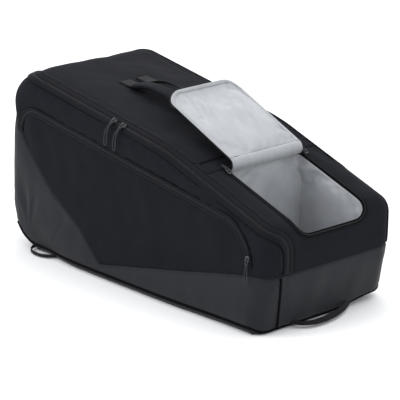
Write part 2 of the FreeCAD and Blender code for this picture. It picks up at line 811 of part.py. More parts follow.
sheet = fill_sheet()
form = body_form()
shell = layer("shell", form, "0", "-wall")
opening = wall_panels(form, shell)
zip_tapes(form, opening)
pockets(form)
shoe_flap(form)
inside(form)
carry_handles()
floor_loops()
shoulder_straps()
main_zip_sliders()
pocket_zip_sliders()
shoe_zip_sliders()
check()
write()
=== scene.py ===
"""The looks of the racket bag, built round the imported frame. Metres, +Z up, -Y the front."""

import json
import math

import bmesh
import bpy
import numpy as np
from mathutils import Matrix, Vector


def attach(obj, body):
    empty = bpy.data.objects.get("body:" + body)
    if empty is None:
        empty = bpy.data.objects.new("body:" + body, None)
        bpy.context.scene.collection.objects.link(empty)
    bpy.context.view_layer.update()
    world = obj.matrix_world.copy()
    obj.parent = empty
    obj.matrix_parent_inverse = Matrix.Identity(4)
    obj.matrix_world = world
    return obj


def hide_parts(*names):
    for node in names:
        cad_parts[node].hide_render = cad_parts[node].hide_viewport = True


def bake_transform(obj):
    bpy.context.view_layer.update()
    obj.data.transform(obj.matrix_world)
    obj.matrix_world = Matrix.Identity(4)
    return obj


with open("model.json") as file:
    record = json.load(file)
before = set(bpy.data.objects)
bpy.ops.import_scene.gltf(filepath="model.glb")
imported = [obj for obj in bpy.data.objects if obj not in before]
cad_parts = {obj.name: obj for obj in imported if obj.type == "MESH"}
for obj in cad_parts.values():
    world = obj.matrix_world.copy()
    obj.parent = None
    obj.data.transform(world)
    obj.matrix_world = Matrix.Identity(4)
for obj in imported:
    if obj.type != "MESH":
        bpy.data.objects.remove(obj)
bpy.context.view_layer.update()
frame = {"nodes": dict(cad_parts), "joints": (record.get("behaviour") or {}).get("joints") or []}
scene = bpy.context.scene
SIDES = {"front": -1.0, "rear": 1.0}
FOLD_LOW, FOLD_HIGH = 0.108, 0.124

# ---------------------------------------------------------------- the form of the body

CORNERS = [(-0.406, 0.0005), (-0.390, 0.4035), (0.081, 0.3255),
           (0.396, 0.220), (0.397, 0.120), (0.3675, 0.0005)]
ROUNDS = [0.102, 0.072, 0.500, 0.042, 0.300, 0.028]
HALF_WIDTH, EDGE_ROUND, BASE = 0.183, 0.040, 0.010
HEAD_FALL = (0.4035 - 0.3255) / (0.081 + 0.390)
HANDLE_FALL = (0.3255 - 0.220) / (0.396 - 0.081)


def top_line(x):
    """The height of the top line over x."""
    head, handle = 0.3255 + (0.081 - x) * HEAD_FALL, 0.3255 - (x - 0.081) * HANDLE_FALL
    return np.minimum(head, handle) - 0.0023 * np.log1p(np.exp(-np.abs(head - handle) / 0.0023))


def smooth(value, low, high):
    """0 below a range, 1 above it and a soft step between."""
    t = np.clip((value - low) / (high - low), 0, 1)
    return t * t * (3 - 2 * t)


FOOT_SAG, FOOT_FLARE, FOOT_LIFT, FOOT_TOP = 0.0085, 0.009, 0.015, 0.090


def footing(p):
    """How far the body's soft lower edge is let down, spread and, at one corner, lifted off the floor."""
    x, y, z = p.T
    near = np.clip(1 - z / FOOT_TOP, 0, 1.2)
    round_it = smooth(np.maximum(np.abs(y) - 0.112, np.maximum(x - 0.300, -x - 0.310)), 0, 0.026)
    lift = FOOT_LIFT * smooth(x, 0.22, 0.36) * smooth(y, 0.03, 0.15) - FOOT_SAG * round_it
    belly = 1 + 1.2 * smooth(0.36 - np.abs(x + 0.02), 0.02, 0.26)
    belly -= 1.1 * np.exp(-((x + 0.282) / 0.062) ** 2)
    flare = FOOT_FLARE * belly * np.sign(y) * smooth(np.abs(y), 0.10, 0.16)
    return np.stack([0 * x, flare * near, lift * near], 1)


def sagged(p):
    """Points of the plain form, moved with the soft lower edge."""
    p = np.array(p, float)
    return p + footing(p)


def risen(p):
    """The opposite of sagged."""
    p = np.array(p, float)
    plain = p.copy()
    low = np.flatnonzero(p[:, 2] < FOOT_TOP + 0.002)
    for _ in range(7):
        plain[low] = p[low] - footing(plain[low])
    return plain


def rounded_outline(corners, rounds, step=0.004):
    """The points of a polygon with round corners."""
    points = []
    corners = [np.array(c) for c in corners]
    for i, (corner, radius) in enumerate(zip(corners, rounds)):
        before, after = corners[i - 1] - corner, corners[(i + 1) % len(corners)] - corner
        before, after = before / np.linalg.norm(before), after / np.linalg.norm(after)
        half = math.acos(np.clip(before @ after, -1, 1)) / 2
        bisector = (before + after) / np.linalg.norm(before + after)
        centre = corner + bisector * radius / math.sin(half)
        start = corner + before * radius / math.tan(half) - centre
        turn = math.pi - 2 * half
        sense = np.sign(before[1] * after[0] - before[0] * after[1])
        count = max(2, math.ceil(turn * radius / step))
        for angle in np.linspace(0, sense * turn, count + 1):
            c, s = math.cos(angle), math.sin(angle)
            points.append(centre + np.array([c * start[0] - s * start[1], s * start[0] + c * start[1]]))
    return np.array(points)


def polygon_distance(across, up, polygon):
    """The signed distance to a polygon, below zero inside."""
    nearest = np.full(across.shape, 1e9)
    inside = np.zeros(across.shape, bool)
    for (x0, z0), (x1, z1) in zip(polygon, np.roll(polygon, -1, axis=0)):
        dx, dz = x1 - x0, z1 - z0
        t = np.clip(((across - x0) * dx + (up - z0) * dz) / max(dx * dx + dz * dz, 1e-12), 0, 1)
        nearest = np.minimum(nearest, (across - x0 - t * dx) ** 2 + (up - z0 - t * dz) ** 2)
        if z0 != z1:
            crossing = (z0 > up) != (z1 > up)
            inside ^= crossing & (across < (up - z0) * dx / dz + x0)
    return np.where(inside, -1, 1) * np.sqrt(nearest)


OUTLINE = rounded_outline(CORNERS, ROUNDS)
GRID_STEP, GRID_LOW, GRID_SHAPE = 0.003, (-0.46, -0.06), (310, 185)
grid_x, grid_z = np.meshgrid(
    GRID_LOW[0] + GRID_STEP * np.arange(GRID_SHAPE[0]),
    GRID_LOW[1] + GRID_STEP * np.arange(GRID_SHAPE[1]),
    indexing="ij",
)
GRID = polygon_distance(grid_x, grid_z, OUTLINE)


def profile_distance(x, z):
    """The signed distance to the side view's outline, read from the grid."""
    u = np.clip((x - GRID_LOW[0]) / GRID_STEP, 0, GRID_SHAPE[0] - 1.001)
    v = np.clip((z - GRID_LOW[1]) / GRID_STEP, 0, GRID_SHAPE[1] - 1.001)
    i, j = u.astype(int), v.astype(int)
    u, v = u - i, v - j
    low = GRID[i, j] * (1 - u) + GRID[i + 1, j] * u
    high = GRID[i, j + 1] * (1 - u) + GRID[i + 1, j + 1] * u
    return low * (1 - v) + high * v


def form(p):
    """The signed distance of points to the body's surface, and the outward directions there."""
    x, y, z = risen(p).T
    distance = profile_distance(x, z)
    h = 0.0035
    gx = profile_distance(x + h, z) - profile_distance(x - h, z)
    gz = profile_distance(x, z + h) - profile_distance(x, z - h)
    size = np.maximum(np.hypot(gx, gz), 1e-9)
    a = distance + EDGE_ROUND
    b = np.abs(y) - (HALF_WIDTH - EDGE_ROUND)
    corner = (a > 0) & (b > 0)
    reach = np.maximum(np.hypot(a, b), 1e-9)
    value = np.where(corner, reach, np.maximum(a, b)) - EDGE_ROUND
    along = np.where(corner, a / reach, (a >= b) * 1.0)
    aside = np.where(corner, b / reach, (a < b) * 1.0)
    normal = np.stack([along * gx / size, aside * np.sign(y), along * gz / size], 1)
    return value, normal


def on_surface(p, lift=0.0):
    """Points moved onto the body's surface, and then off it by a lift."""
    p = np.array(p, float).reshape(-1, 3)
    for _ in range(5):
        value, normal = form(p)
        p = p - normal * value[:, None]
    normal = form(p)[1]
    return p + normal * np.reshape(lift, (-1, 1))


# ---------------------------------------------------------------- the fields that divide the wall


ZIP_ROUND, END_SEAM = 0.042, 0.123


def zip_end(z):
    """How far from the middle the main zip runs down each end face."""
    return np.interp(z, [0.012, END_SEAM - 0.0001, END_SEAM + 0.0001], [0.127, 0.144, 0.126])


def cover_field(p):
    """Below zero on the long sides, under the main zip and outside its ends."""
    x, y, z = p.T
    over, aside = (z - top_line(x) + 0.009) * 0.97, zip_end(z) - np.abs(y)
    hidden = (profile_distance(x, z) + 0.0087 + 0.0095 * np.clip((top_line(x) - z) / 0.05, 0, 1)) * 1.2
    aside = np.where((y > 0.05) & (x > 0.25), hidden, aside)
    corner = np.hypot(np.maximum(over + ZIP_ROUND, 0), np.maximum(aside + ZIP_ROUND, 0)) - ZIP_ROUND
    round_it = (over > -ZIP_ROUND) & (aside > -ZIP_ROUND) & (z > END_SEAM + 0.0001)
    return np.where(round_it, corner, np.maximum(over, aside))


def base_field(p):
    """Below zero on the base and the narrow band round it."""
    x, _, z = risen(p).T
    gz = profile_distance(x, z + 0.004) - profile_distance(x, z - 0.004)
    return np.maximum(-profile_distance(x, z) - 0.0215, (gz / 0.008 + 0.55) * 0.1)


SEAM = [(-0.420, 0.3405), (-0.353, 0.259), (-0.307, 0.203), (-0.249, 0.147), (-0.168, 0.093), (-0.087, 0.033),
        (-0.040, 0.043), (0.006, 0.052), (0.067, 0.064), (0.157, 0.082), (0.229, 0.098), (0.300, 0.114),
        (0.350, 0.122), (0.420, 0.124)]


def coated_field(p):
    """Below zero where the long side is coated fabric: under a seam that falls and then rises."""
    return (p[:, 2] - np.interp(p[:, 0], *zip(*SEAM))) * 0.85


POCKET = rounded_outline(
    [(-0.364, 0.0), (-0.364, 0.331), (0.354, 0.222), (0.354, 0.0)], [0.001, 0.055, 0.100, 0.001]
)


def pocket_field(p):
    """Below zero inside the outline of the side pocket."""
    return polygon_distance(p[:, 0], p[:, 2], POCKET)


HINGE_X, SHOE_HALF, SHOE_LIP, SHOE_ROUND = 0.191, 0.102, 0.197, 0.038


def opening_field(p):
    """Below zero inside the shoe opening."""
    x, y, z = p.T
    across = np.abs(y) - (SHOE_HALF - SHOE_ROUND)
    down = SHOE_LIP + SHOE_ROUND - z
    low_corner = np.hypot(np.maximum(across, 0), np.maximum(down, 0)) - SHOE_ROUND
    return np.maximum(np.maximum(low_corner, np.abs(y) - SHOE_HALF), HINGE_X - x)


def hinge_field(p):
    """Zero where the shoe flap is sewn on."""
    return p[:, 0] - HINGE_X


def head_top_field(p):
    """Below zero under the seam between the top and the head end."""
    return np.maximum((p[:, 2] - top_line(p[:, 0]) + 0.009) * 0.97, p[:, 0] + 0.30)


def head_coated_field(p):
    """Below zero under the seam across the middle of the head end."""
    return p[:, 2] - 0.300


# ---------------------------------------------------------------- the skin as one mesh, cut along the seams


def skin_mesh():
    """An even mesh of squares over the body, as a bmesh."""
    source = bpy.data.meshes.new("form")
    count = len(OUTLINE)
    points = [(x, side * HALF_WIDTH, z) for side in (-1, 1) for x, z in OUTLINE]
    ring = list(range(count))
    faces = [ring[::-1], [count + i for i in ring]]
    faces += [(i, (i + 1) % count, count + (i + 1) % count, count + i) for i in ring]
    source.from_pydata(points, [], faces)
    shape = bpy.data.objects.new("form", source)
    scene.collection.objects.link(shape)
    remesh = shape.modifiers.new("even", "REMESH")
    remesh.mode = "VOXEL"
    remesh.voxel_size = 0.0052
    evaluated = shape.evaluated_get(bpy.context.evaluated_depsgraph_get())
    skin = bpy.data.meshes.new_from_object(evaluated)
    bpy.data.objects.remove(shape)
    bm = bmesh.new()
    bm.from_mesh(skin)
    bm.normal_update()
    co = on_surface([v.co for v in bm.verts])
    ends = np.array([[v.index for v in e.verts] for e in bm.edges])
    for _ in range(4):
        total, number = np.zeros_like(co), np.zeros(len(co))
        for a, b in ((0, 1), (1, 0)):
            np.add.at(total, ends[:, a], co[ends[:, b]])
            np.add.at(number, ends[:, a], 1)
        co = on_surface(co * 0.4 + 0.6 * total / number[:, None])
    for vert, place in zip(bm.verts, co):
        vert.co = place
    return bm


def cut_along(bm, field):
    """Cuts the skin's faces along the line where a field is zero."""
    snap = 0.0013
    bm.verts.index_update()
    co = np.array([v.co for v in bm.verts])
    f = field(co)
    near = np.abs(f) < snap
    q = co[near]
    if len(q):
        h = 1e-4
        slope = np.stack([(field(q + h * axis) - field(q - h * axis)) / (2 * h) for axis in np.eye(3)], 1)
        normal = form(q)[1]
        slope -= normal * np.sum(slope * normal, 1)[:, None]
        steep = np.sum(slope * slope, 1)
        good = steep > 0.05
        q[good] -= slope[good] * (f[near][good] / steep[good])[:, None]
        places = np.flatnonzero(near)[good]
        for index, place in zip(places, q[good]):
            bm.verts[index].co = place
        f[places] = 0
    for v in bm.verts:
        v.tag = bool(f[v.index] == 0)
    for edge in list(bm.edges):
        a, b = edge.verts
        fa, fb = f[a.index], f[b.index]
        if fa * fb < 0:
            made = bmesh.utils.edge_split(edge, a, fa / (fa - fb))[1]
            made.tag = True
    for face in list(bm.faces):
        on = [v for v in face.verts if v.tag]
        if len(on) >= 2 and len(face.verts) > 3:
            for i, a in enumerate(on):
                joined_to_a = [v for e in a.link_edges if face in e.link_faces for v in e.verts]
                b = next((v for v in on[i + 1:] if v not in joined_to_a), None)
                if b:
                    bmesh.utils.face_split(face, a, b)
                    break
    bm.verts.ensure_lookup_table()
    bm.verts.index_update()


def skin_arrays():
    """The cut skin as points, faces and the name of the panel that each face is in."""
    bm = skin_mesh()
    bm.verts.ensure_lookup_table()
    fields = {
        "flat": lambda p: risen(p)[:, 2] - BASE,
        "cover": cover_field,
        "base": base_field,
        "coated": coated_field,
        "pocket": lambda p: pocket_field(p) + 0.009,
        "opening": opening_field,
        "end": lambda p: p[:, 2] - END_SEAM,
        "hinge": hinge_field,
        "head_top": head_top_field,
        "head_coated": head_coated_field,
    }
    for field in fields.values():
        cut_along(bm, field)
    co = np.array([v.co for v in bm.verts])
    faces = [[v.index for v in f.verts] for f in bm.faces]
    middle = np.array([co[f].mean(0) for f in faces])
    values = {name: field(middle) for name, field in fields.items()}
    names = []
    for i, (x, y, z) in enumerate(middle):
        inside = {name: values[name][i] < 0 for name in values}
        side = "front" if y < 0 else "rear"
        if inside["flat"] or inside["base"]:
            names.append("base")
        elif inside["cover"]:
            if inside["coated"]:
                names.append(side + "_coated")
            elif inside["pocket"] and abs(y) > 0.16:
                names.append(side + "_pocket")
            else:
                names.append(side + "_canvas")
        elif x > HINGE_X - 1e-6 and not inside["end"]:
            names.append("opening" if inside["opening"] else "surround")
        elif x > 0:
            names.append("handle_end" if z < 0.2 else "top")
        elif inside["head_top"]:
            names.append("head_coated" if inside["head_coated"] else "head_canvas")
        else:
            names.append("top")
    plain = risen(co)
    plain[:, 2] = np.maximum(plain[:, 2], BASE)
    return sagged(plain), faces, names


# ---------------------------------------------------------------- materials


class Nodes:
    """A short way to write a material's node tree."""

    def __init__(self, name):
        self.material = bpy.data.materials.new(name)
        self.material.use_nodes = True
        self.tree = self.material.node_tree
        self.shader = next(n for n in self.tree.nodes if n.type == "BSDF_PRINCIPLED")

    def add(self, kind, inputs=None, **settings):
        node = self.tree.nodes.new("ShaderNode" + kind)
        for key, setting in settings.items():
            setattr(node, key, setting)
        for key, given in (inputs or {}).items():
            self.feed(node.inputs[key], given)
        return node

    def feed(self, socket, given):
        if isinstance(given, bpy.types.Node):
            self.tree.links.new(next(o for o in given.outputs if o.enabled), socket)
        elif isinstance(given, bpy.types.NodeSocket):
            self.tree.links.new(given, socket)
        else:
            socket.default_value = given

    def maths(self, operation, a, b):
        return self.add("Math", {0: a, 1: b}, operation=operation).outputs[0]

    def solid(self):
        """The place in the object."""
        return self.add("TexCoord").outputs["Object"]

    def flat(self):
        """The place on the fabric, along and across its weave."""
        return self.add("UVMap", uv_map="Weave").outputs["UV"]

    def stretched(self, place, scale):
        return self.add("Mapping", {"Vector": place, "Scale": scale}).outputs[0]

    def noise(self, place, scale, detail=2.0, rough=0.5):
        made = self.add("TexNoise", {"Vector": place, "Scale": scale, "Detail": detail, "Roughness": rough})
        return made.outputs["Fac"]

    def waves(self, place, scale, direction, distortion=0.0):
        inputs = {"Vector": place, "Scale": scale, "Distortion": distortion, "Detail": 1.0}
        return self.add("TexWave", inputs, bands_direction=direction).outputs["Fac"]

    def ramp(self, given, low, high, low_at=0.0, high_at=1.0):
        ramp = self.add("ValToRGB", {"Fac": given})
        for stop, place, colour in zip(ramp.color_ramp.elements, (low_at, high_at), (low, high)):
            stop.position = place
            stop.color = (*colour, 1.0)
        return ramp.outputs["Color"]

    def spread(self, given, low, high):
        return self.add("MapRange", {"Value": given, "To Min": low, "To Max": high}).outputs["Result"]

    def bump(self, height, distance, normal=None, strength=1.0):
        inputs = {"Height": height, "Distance": distance, "Strength": strength}
        if normal:
            inputs["Normal"] = normal.outputs["Normal"]
        return self.add("Bump", inputs)

    def finish(self, **inputs):
        for key, given in inputs.items():
            self.feed(self.shader.inputs[key.replace("_", " ")], given)
        return self.material


def woven(name, dark, light, pitch, rough, sheen, weave_depth, gloss=0.3):
    """A woven fabric: two sets of yarns, fibres on them, and a slow change of shade over the cloth."""
    n = Nodes(name)
    flat, solid = n.flat(), n.solid()
    yarns = 1.0 / pitch / 2
    warp = n.waves(flat, yarns * 0.32, "X", 0.4)
    weft = n.waves(flat, yarns * 0.32, "Y", 0.4)
    weave = n.maths("MULTIPLY", warp, weft)
    fibre = n.noise(solid, 2600.0, 3.0)
    patch = n.noise(solid, 16.0, 3.0, 0.6)
    slubs = n.noise(n.stretched(flat, (1.0, 9.0, 1.0)), 90.0, 2.0)
    mixed = n.maths("ADD", n.maths("MULTIPLY", weave, 0.45), n.maths("MULTIPLY", slubs, 0.35))
    mixed = n.maths("ADD", mixed, n.maths("MULTIPLY", patch, 0.35))
    colour = n.ramp(mixed, dark, light, 0.25, 0.85)
    fine = n.bump(fibre, 0.00005, strength=0.6)
    weave_bump = n.bump(weave, weave_depth, fine)
    return n.finish(
        Base_Color=colour,
        Roughness=n.spread(patch, rough - 0.06, rough + 0.06),
        Sheen_Weight=sheen,
        Sheen_Roughness=0.45,
        Specular_IOR_Level=gloss,
        Normal=weave_bump.outputs["Normal"],
    )


def coated(name, dark, light, rough, gloss):
    """A smooth coated fabric: a fine grain, a soft sheen, scuffs and slow changes of gloss."""
    n = Nodes(name)
    solid, flat = n.solid(), n.flat()
    grain = n.add("TexVoronoi", {"Vector": solid, "Scale": 1100.0}).outputs["Distance"]
    patch = n.noise(solid, 11.0, 4.0, 0.6)
    scuff = n.noise(n.stretched(solid, (1.0, 1.0, 3.0)), 60.0, 5.0, 0.65)
    rib = n.waves(flat, 360.0, "X", 0.5)
    mixed = n.maths("ADD", n.maths("MULTIPLY", patch, 0.6), n.maths("MULTIPLY", scuff, 0.4))
    colour = n.ramp(mixed, dark, light, 0.3, 0.75)
    fine = n.bump(grain, 0.00006, strength=0.5)
    soft = n.bump(rib, 0.00003, fine, 0.6)
    return n.finish(
        Base_Color=colour,
        Roughness=n.spread(scuff, rough - 0.07, rough + 0.08),
        Sheen_Weight=0.04,
        Sheen_Roughness=0.5,
        Specular_IOR_Level=gloss,
        Normal=soft.outputs["Normal"],
    )


def satin(name, dark, light, rough):
    """A thin satin lining: fine lengthwise threads, a soft gloss and small creases."""
    n = Nodes(name)
    flat, solid = n.flat(), n.solid()
    thread = n.waves(flat, 420.0, "X", 0.6)
    crease = n.noise(n.stretched(solid, (1.0, 1.6, 1.0)), 38.0, 4.0, 0.55)
    patch = n.noise(solid, 9.0, 3.0, 0.5)
    mixed = n.maths("ADD", n.maths("MULTIPLY", patch, 0.7), n.maths("MULTIPLY", crease, 0.3))
    colour = n.ramp(mixed, dark, light, 0.3, 0.7)
    soft = n.bump(crease, 0.0012, strength=0.5)
    fine = n.bump(thread, 0.00004, soft, 0.5)
    return n.finish(
        Base_Color=colour,
        Roughness=n.spread(patch, rough - 0.05, rough + 0.08),
        Sheen_Weight=0.25,
        Specular_IOR_Level=0.55,
        Normal=fine.outputs["Normal"],
    )


def webbing(name, dark, light, rough=0.62):
    """Heavy nylon webbing: ribs along its length, crossed by a close weft."""
    n = Nodes(name)
    flat, solid = n.flat(), n.solid()
    ribs = n.waves(flat, 150.0, "Y", 0.1)
    weft = n.waves(flat, 300.0, "X", 0.3)
    fibre = n.noise(solid, 1800.0, 2.0)
    height = n.maths("ADD", ribs, n.maths("MULTIPLY", weft, 0.5))
    mixed = n.maths("ADD", n.maths("MULTIPLY", height, 0.4), n.maths("MULTIPLY", fibre, 0.4))
    colour = n.ramp(mixed, dark, light, 0.2, 0.85)
    fine = n.bump(fibre, 0.00005, strength=0.5)
    rows = n.bump(height, 0.0003, fine, 0.9)
    return n.finish(
        Base_Color=colour,
        Roughness=n.spread(fibre, rough - 0.05, rough + 0.08),
        Sheen_Weight=0.03,
        Specular_IOR_Level=0.16,
        Normal=rows.outputs["Normal"],
    )


def hard(name, dark, light, rough, metallic, scale=300.0):
    """Painted metal or moulded plastic: a fine cast grain, with worn, shinier patches."""
    n = Nodes(name)
    solid = n.solid()
    grain = n.noise(solid, scale * 8, 3.0)
    wear = n.noise(solid, scale, 4.0, 0.65)
    colour = n.ramp(wear, dark, light, 0.35, 0.75)
    fine = n.bump(grain, 0.00003, strength=0.5)
    return n.finish(
        Base_Color=colour,
        Roughness=n.spread(wear, rough + 0.1, rough - 0.08),
        Metallic=metallic,
        Normal=fine.outputs["Normal"],
    )


CANVAS = woven("canvas", (0.0060, 0.0063, 0.0086), (0.0128, 0.0134, 0.0176),
               0.0011, 0.86, 0.012, 0.00022, gloss=0.06)
POCKET_CANVAS = woven("pocket_canvas", (0.0057, 0.0060, 0.0082), (0.0122, 0.0128, 0.0168),
                      0.0011, 0.86, 0.012, 0.00022, gloss=0.06)
COATED = coated("coated", (0.0078, 0.0082, 0.0108), (0.0122, 0.0128, 0.0165), 0.57, 0.15)
# The binding's near-black colour is partly the piping's own black and partly painted shade: the dark crease
# shadow along the piping and the gap shadow beside the zips.
BINDING_WITH_CREASE_SHADE = woven("binding", (0.0020, 0.0020, 0.0026), (0.0050, 0.0052, 0.0064),
                0.0009, 0.85, 0.0, 0.0002, gloss=0.04)
# The zip strips are painted darker than the canvas they match: painted shade that cancels the light their
# raised edges catch.
FLAP_STRIP_WITH_PAINTED_SHADE = coated("zip_flap", (0.0046, 0.0048, 0.0064), (0.0078, 0.0082, 0.0106), 0.80, 0.06)
# The zip tape's colour is partly its own black and partly painted shade: darker than the fabric for the dark
# line round the shoe opening, and on the handle patches to take the light off their up-facing tops.
TAPE_WITH_PAINTED_SHADE = woven("zip_tape", (0.0030, 0.0031, 0.0040), (0.0075, 0.0077, 0.0094),
             0.0008, 0.8, 0.0, 0.0002, gloss=0.05)
SATIN = satin("silver_satin", (0.225, 0.234, 0.251), (0.335, 0.346, 0.365), 0.42)
EDGING = woven("silver_edging", (0.24, 0.25, 0.265), (0.42, 0.43, 0.45), 0.0009, 0.6, 0.1, 0.0002)
DARK_LINING = satin("dark_lining", (0.02, 0.021, 0.025), (0.035, 0.036, 0.042), 0.5)
WEBBING = webbing("webbing", (0.0032, 0.0033, 0.0045), (0.0095, 0.0098, 0.0122), 0.78)
MESH = woven("air_mesh", (0.011, 0.011, 0.013), (0.030, 0.031, 0.035), 0.0026, 0.85, 0.15, 0.0007)
METAL = hard("slider_metal", (0.035, 0.036, 0.040), (0.11, 0.112, 0.118), 0.30, 0.85, 400.0)
PLASTIC = hard("moulded_plastic", (0.012, 0.012, 0.013), (0.022, 0.022, 0.024), 0.42, 0.0)
BOARD = hard("base_board", (0.015, 0.015, 0.016), (0.03, 0.03, 0.032), 0.6, 0.0, 80.0)
CORD = woven("pull_cord", (0.014, 0.0143, 0.017), (0.036, 0.037, 0.042), 0.0008, 0.7, 0.05, 0.0002, gloss=0.15)
THREAD = woven("thread", (0.009, 0.0092, 0.0115), (0.021, 0.0215, 0.0255), 0.0006, 0.7, 0.0, 0.0001, gloss=0.1)
PALE_THREAD = woven("pale_thread", (0.42, 0.43, 0.45), (0.66, 0.67, 0.69), 0.0006, 0.55, 0.2, 0.0001)
COIL = hard("zip_coil", (0.010, 0.010, 0.011), (0.030, 0.030, 0.033), 0.36, 0.0, 500.0)

# ---------------------------------------------------------------- making pieces


def piece(name, points, faces, uv, *materials):
    """A mesh object with a weave map: uv is one pair of metres for each point or each face corner."""
    mesh = bpy.data.meshes.new(name)
    mesh.from_pydata([tuple(p) for p in points], [], [tuple(int(i) for i in f) for f in faces])
    layer = mesh.uv_layers.new(name="Weave")
    corners = np.zeros(len(mesh.loops), int)
    mesh.loops.foreach_get("vertex_index", corners)
    uv = np.asarray(uv, float)
    chosen = uv[corners] if len(uv) == len(points) else uv
    layer.data.foreach_set("uv", chosen.ravel())
    for material in materials:
        mesh.materials.append(material)
    mesh.polygons.foreach_set("use_smooth", [True] * len(mesh.polygons))
    made = bpy.data.objects.new(name, mesh)
    scene.collection.objects.link(made)
    return made


def thicken(obj, thick, inner_slot=0):
    """Gives a sheet its thickness inwards, with another material on its inner side."""
    solid = obj.modifiers.new("thickness", "SOLIDIFY")
    solid.thickness = thick
    solid.offset = -1.0
    solid.use_even_offset = False
    solid.material_offset = inner_slot
    solid.material_offset_rim = 0
    return obj


def rides(obj, body, slot, *nodes):
    """The piece moves with a body and stands for CAD nodes, which it hides; slot is not used."""
    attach(obj, body)
    if nodes:
        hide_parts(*nodes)
    return obj


def bends(obj, body, slot, low, high, *nodes):
    """The piece's placement is baked into its mesh and the CAD nodes are hidden; body, slot, low and high are
    not used.
    """
    if nodes:
        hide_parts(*nodes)
    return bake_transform(obj)


def blended(obj, side, slot, *nodes):
    """A piece that crosses the fold at the foot of a cover."""
    y = SIDES[side] * HALF_WIDTH
    return bends(obj, side + "_cover", slot, (0, y, FOLD_LOW), (0, y, FOLD_HIGH), *nodes)


def waves(p, length, seed, stretch=(1.0, 1.0, 1.0)):
    """A smooth random height at each point, about -1 to 1, made of waves of about one length."""
    rng = np.random.default_rng(seed)
    total = np.zeros(len(p))
    for _ in range(14):
        direction = rng.normal(size=3)
        direction *= np.array(stretch) / np.linalg.norm(direction)
        total += np.sin(p @ direction * 2 * math.pi / (length * rng.uniform(0.7, 1.4)) + rng.uniform(0, 6.28))
    return total / 3.8


def bell(x, width):
    """1 at zero, falling off to both sides over a width."""
    return np.exp(-((x / width) ** 2))


def blunt(value, power):
    """A sine or cosine made squarer, for a loop between an ellipse and a box."""
    return np.sign(value) * abs(value) ** power


# ---------------------------------------------------------------- the sewn panels of the body


def relief(p):
    """How far the fabric stands off the plain form: seams pulled in, panels crowned, dents and puckers."""
    x, y, z = p.T
    cover, base = cover_field(p), base_field(p)
    coat, pocket = coated_field(p), pocket_field(p)
    on_side = (cover < 0.002) & (base > -0.002)
    off_side = (cover > -0.002) & (base > -0.002)
    far = np.full(len(p), 0.2)

    # the distance to the nearest seam that crosses the place
    seams = [np.abs(cover), np.abs(base)]
    seams.append(np.where(on_side, np.abs(coat), far))
    seams.append(np.where(on_side & (coat > -0.002), np.abs(pocket + 0.009) + 0.004, far))
    seams.append(np.where(off_side, np.abs(x - HINGE_X), far))
    seams.append(np.where(off_side & (x > 0), np.abs(opening_field(p)), far))
    seams.append(np.where(off_side & (np.abs(x) > 0.33), np.abs(z - END_SEAM), far))
    nearest = np.min(seams, axis=0)

    # grooves beside the two zips, then crowned panels between pulled-in seams
    height = np.where(base > 0, -0.0018 * bell(np.abs(cover) - 0.0150, 0.0014), 0.0)
    height += np.where(on_side & (coat > 0), -0.0015 * bell(np.abs(pocket + 0.009) - 0.0100, 0.0012), 0)
    crown = np.where(on_side & (pocket < -0.009) & (coat > 0), 0.0042, 0.0026)
    crown = np.where(off_side & (x < HINGE_X), 0.0030, crown)
    crown = np.where(base < 0, 0.0, crown)
    height += crown * (1 - bell(nearest, 0.030)) - 0.0011 * bell(nearest, 0.0030)

    # slow dents away from the seams, and puckers beside the main zip and under the pocket's zip
    calm = 1 - bell(nearest, 0.016)
    height += 0.0013 * waves(p, 0.13, 3) * calm + 0.0006 * waves(p, 0.05, 4, (1.0, 1.0, 0.6)) * calm
    zip_side = np.where(cover < 0, -cover, cover * 1.6)
    ripple = waves(p * np.array([1.0, 1.0, 0.15]), 0.020, 5)
    height += np.where(base > 0, 0.00055 * ripple * bell(zip_side - 0.014, 0.012), 0)
    under_zip = np.where(on_side & (coat > 0), pocket + 0.030, far)
    height += 0.0009 * waves(p * np.array([1.0, 1.0, 0.35]), 0.034, 6) * bell(under_zip, 0.020)
    pulled = np.where(on_side & (coat > 0), pocket + 0.060, far)
    height += 0.0016 * waves(p + [0.0, 0.0, 0.4], 0.075, 7, (1.0, 1.0, 0.4)) * bell(pulled, 0.045)

    # folds that fan out from the head-end foot
    near_foot = (z < 0.30) & (x < -0.2)
    flat = risen(p)[:, 2] <= BASE + 3e-5
    for foot_x, foot_z, tilt, depth, reach in PINCHES:
        dx, dz = x - foot_x, z - foot_z
        away = np.hypot(dx, dz)
        angle = np.degrees(np.arctan2(dx, dz)) - tilt
        fade = bell(away - reach * 0.45, reach * 0.42) * np.clip(away / 0.012, 0, 1)
        height += np.where(near_foot & (np.abs(y) > 0.12), depth * bell(angle, 7.0) * fade, 0)
    return np.where(flat, 0.0, height)


# a fan's foot in x and z, its tilt in degrees, its depth and its reach
PINCHES = [
    (-0.326, 0.048, -12, -0.0022, 0.13),
    (-0.326, 0.048, 2, 0.0018, 0.12),
    (-0.326, 0.048, 14, -0.0016, 0.10),
    (-0.326, 0.048, -30, 0.0014, 0.14),
    (-0.250, 0.022, 26, -0.0010, 0.12),
]


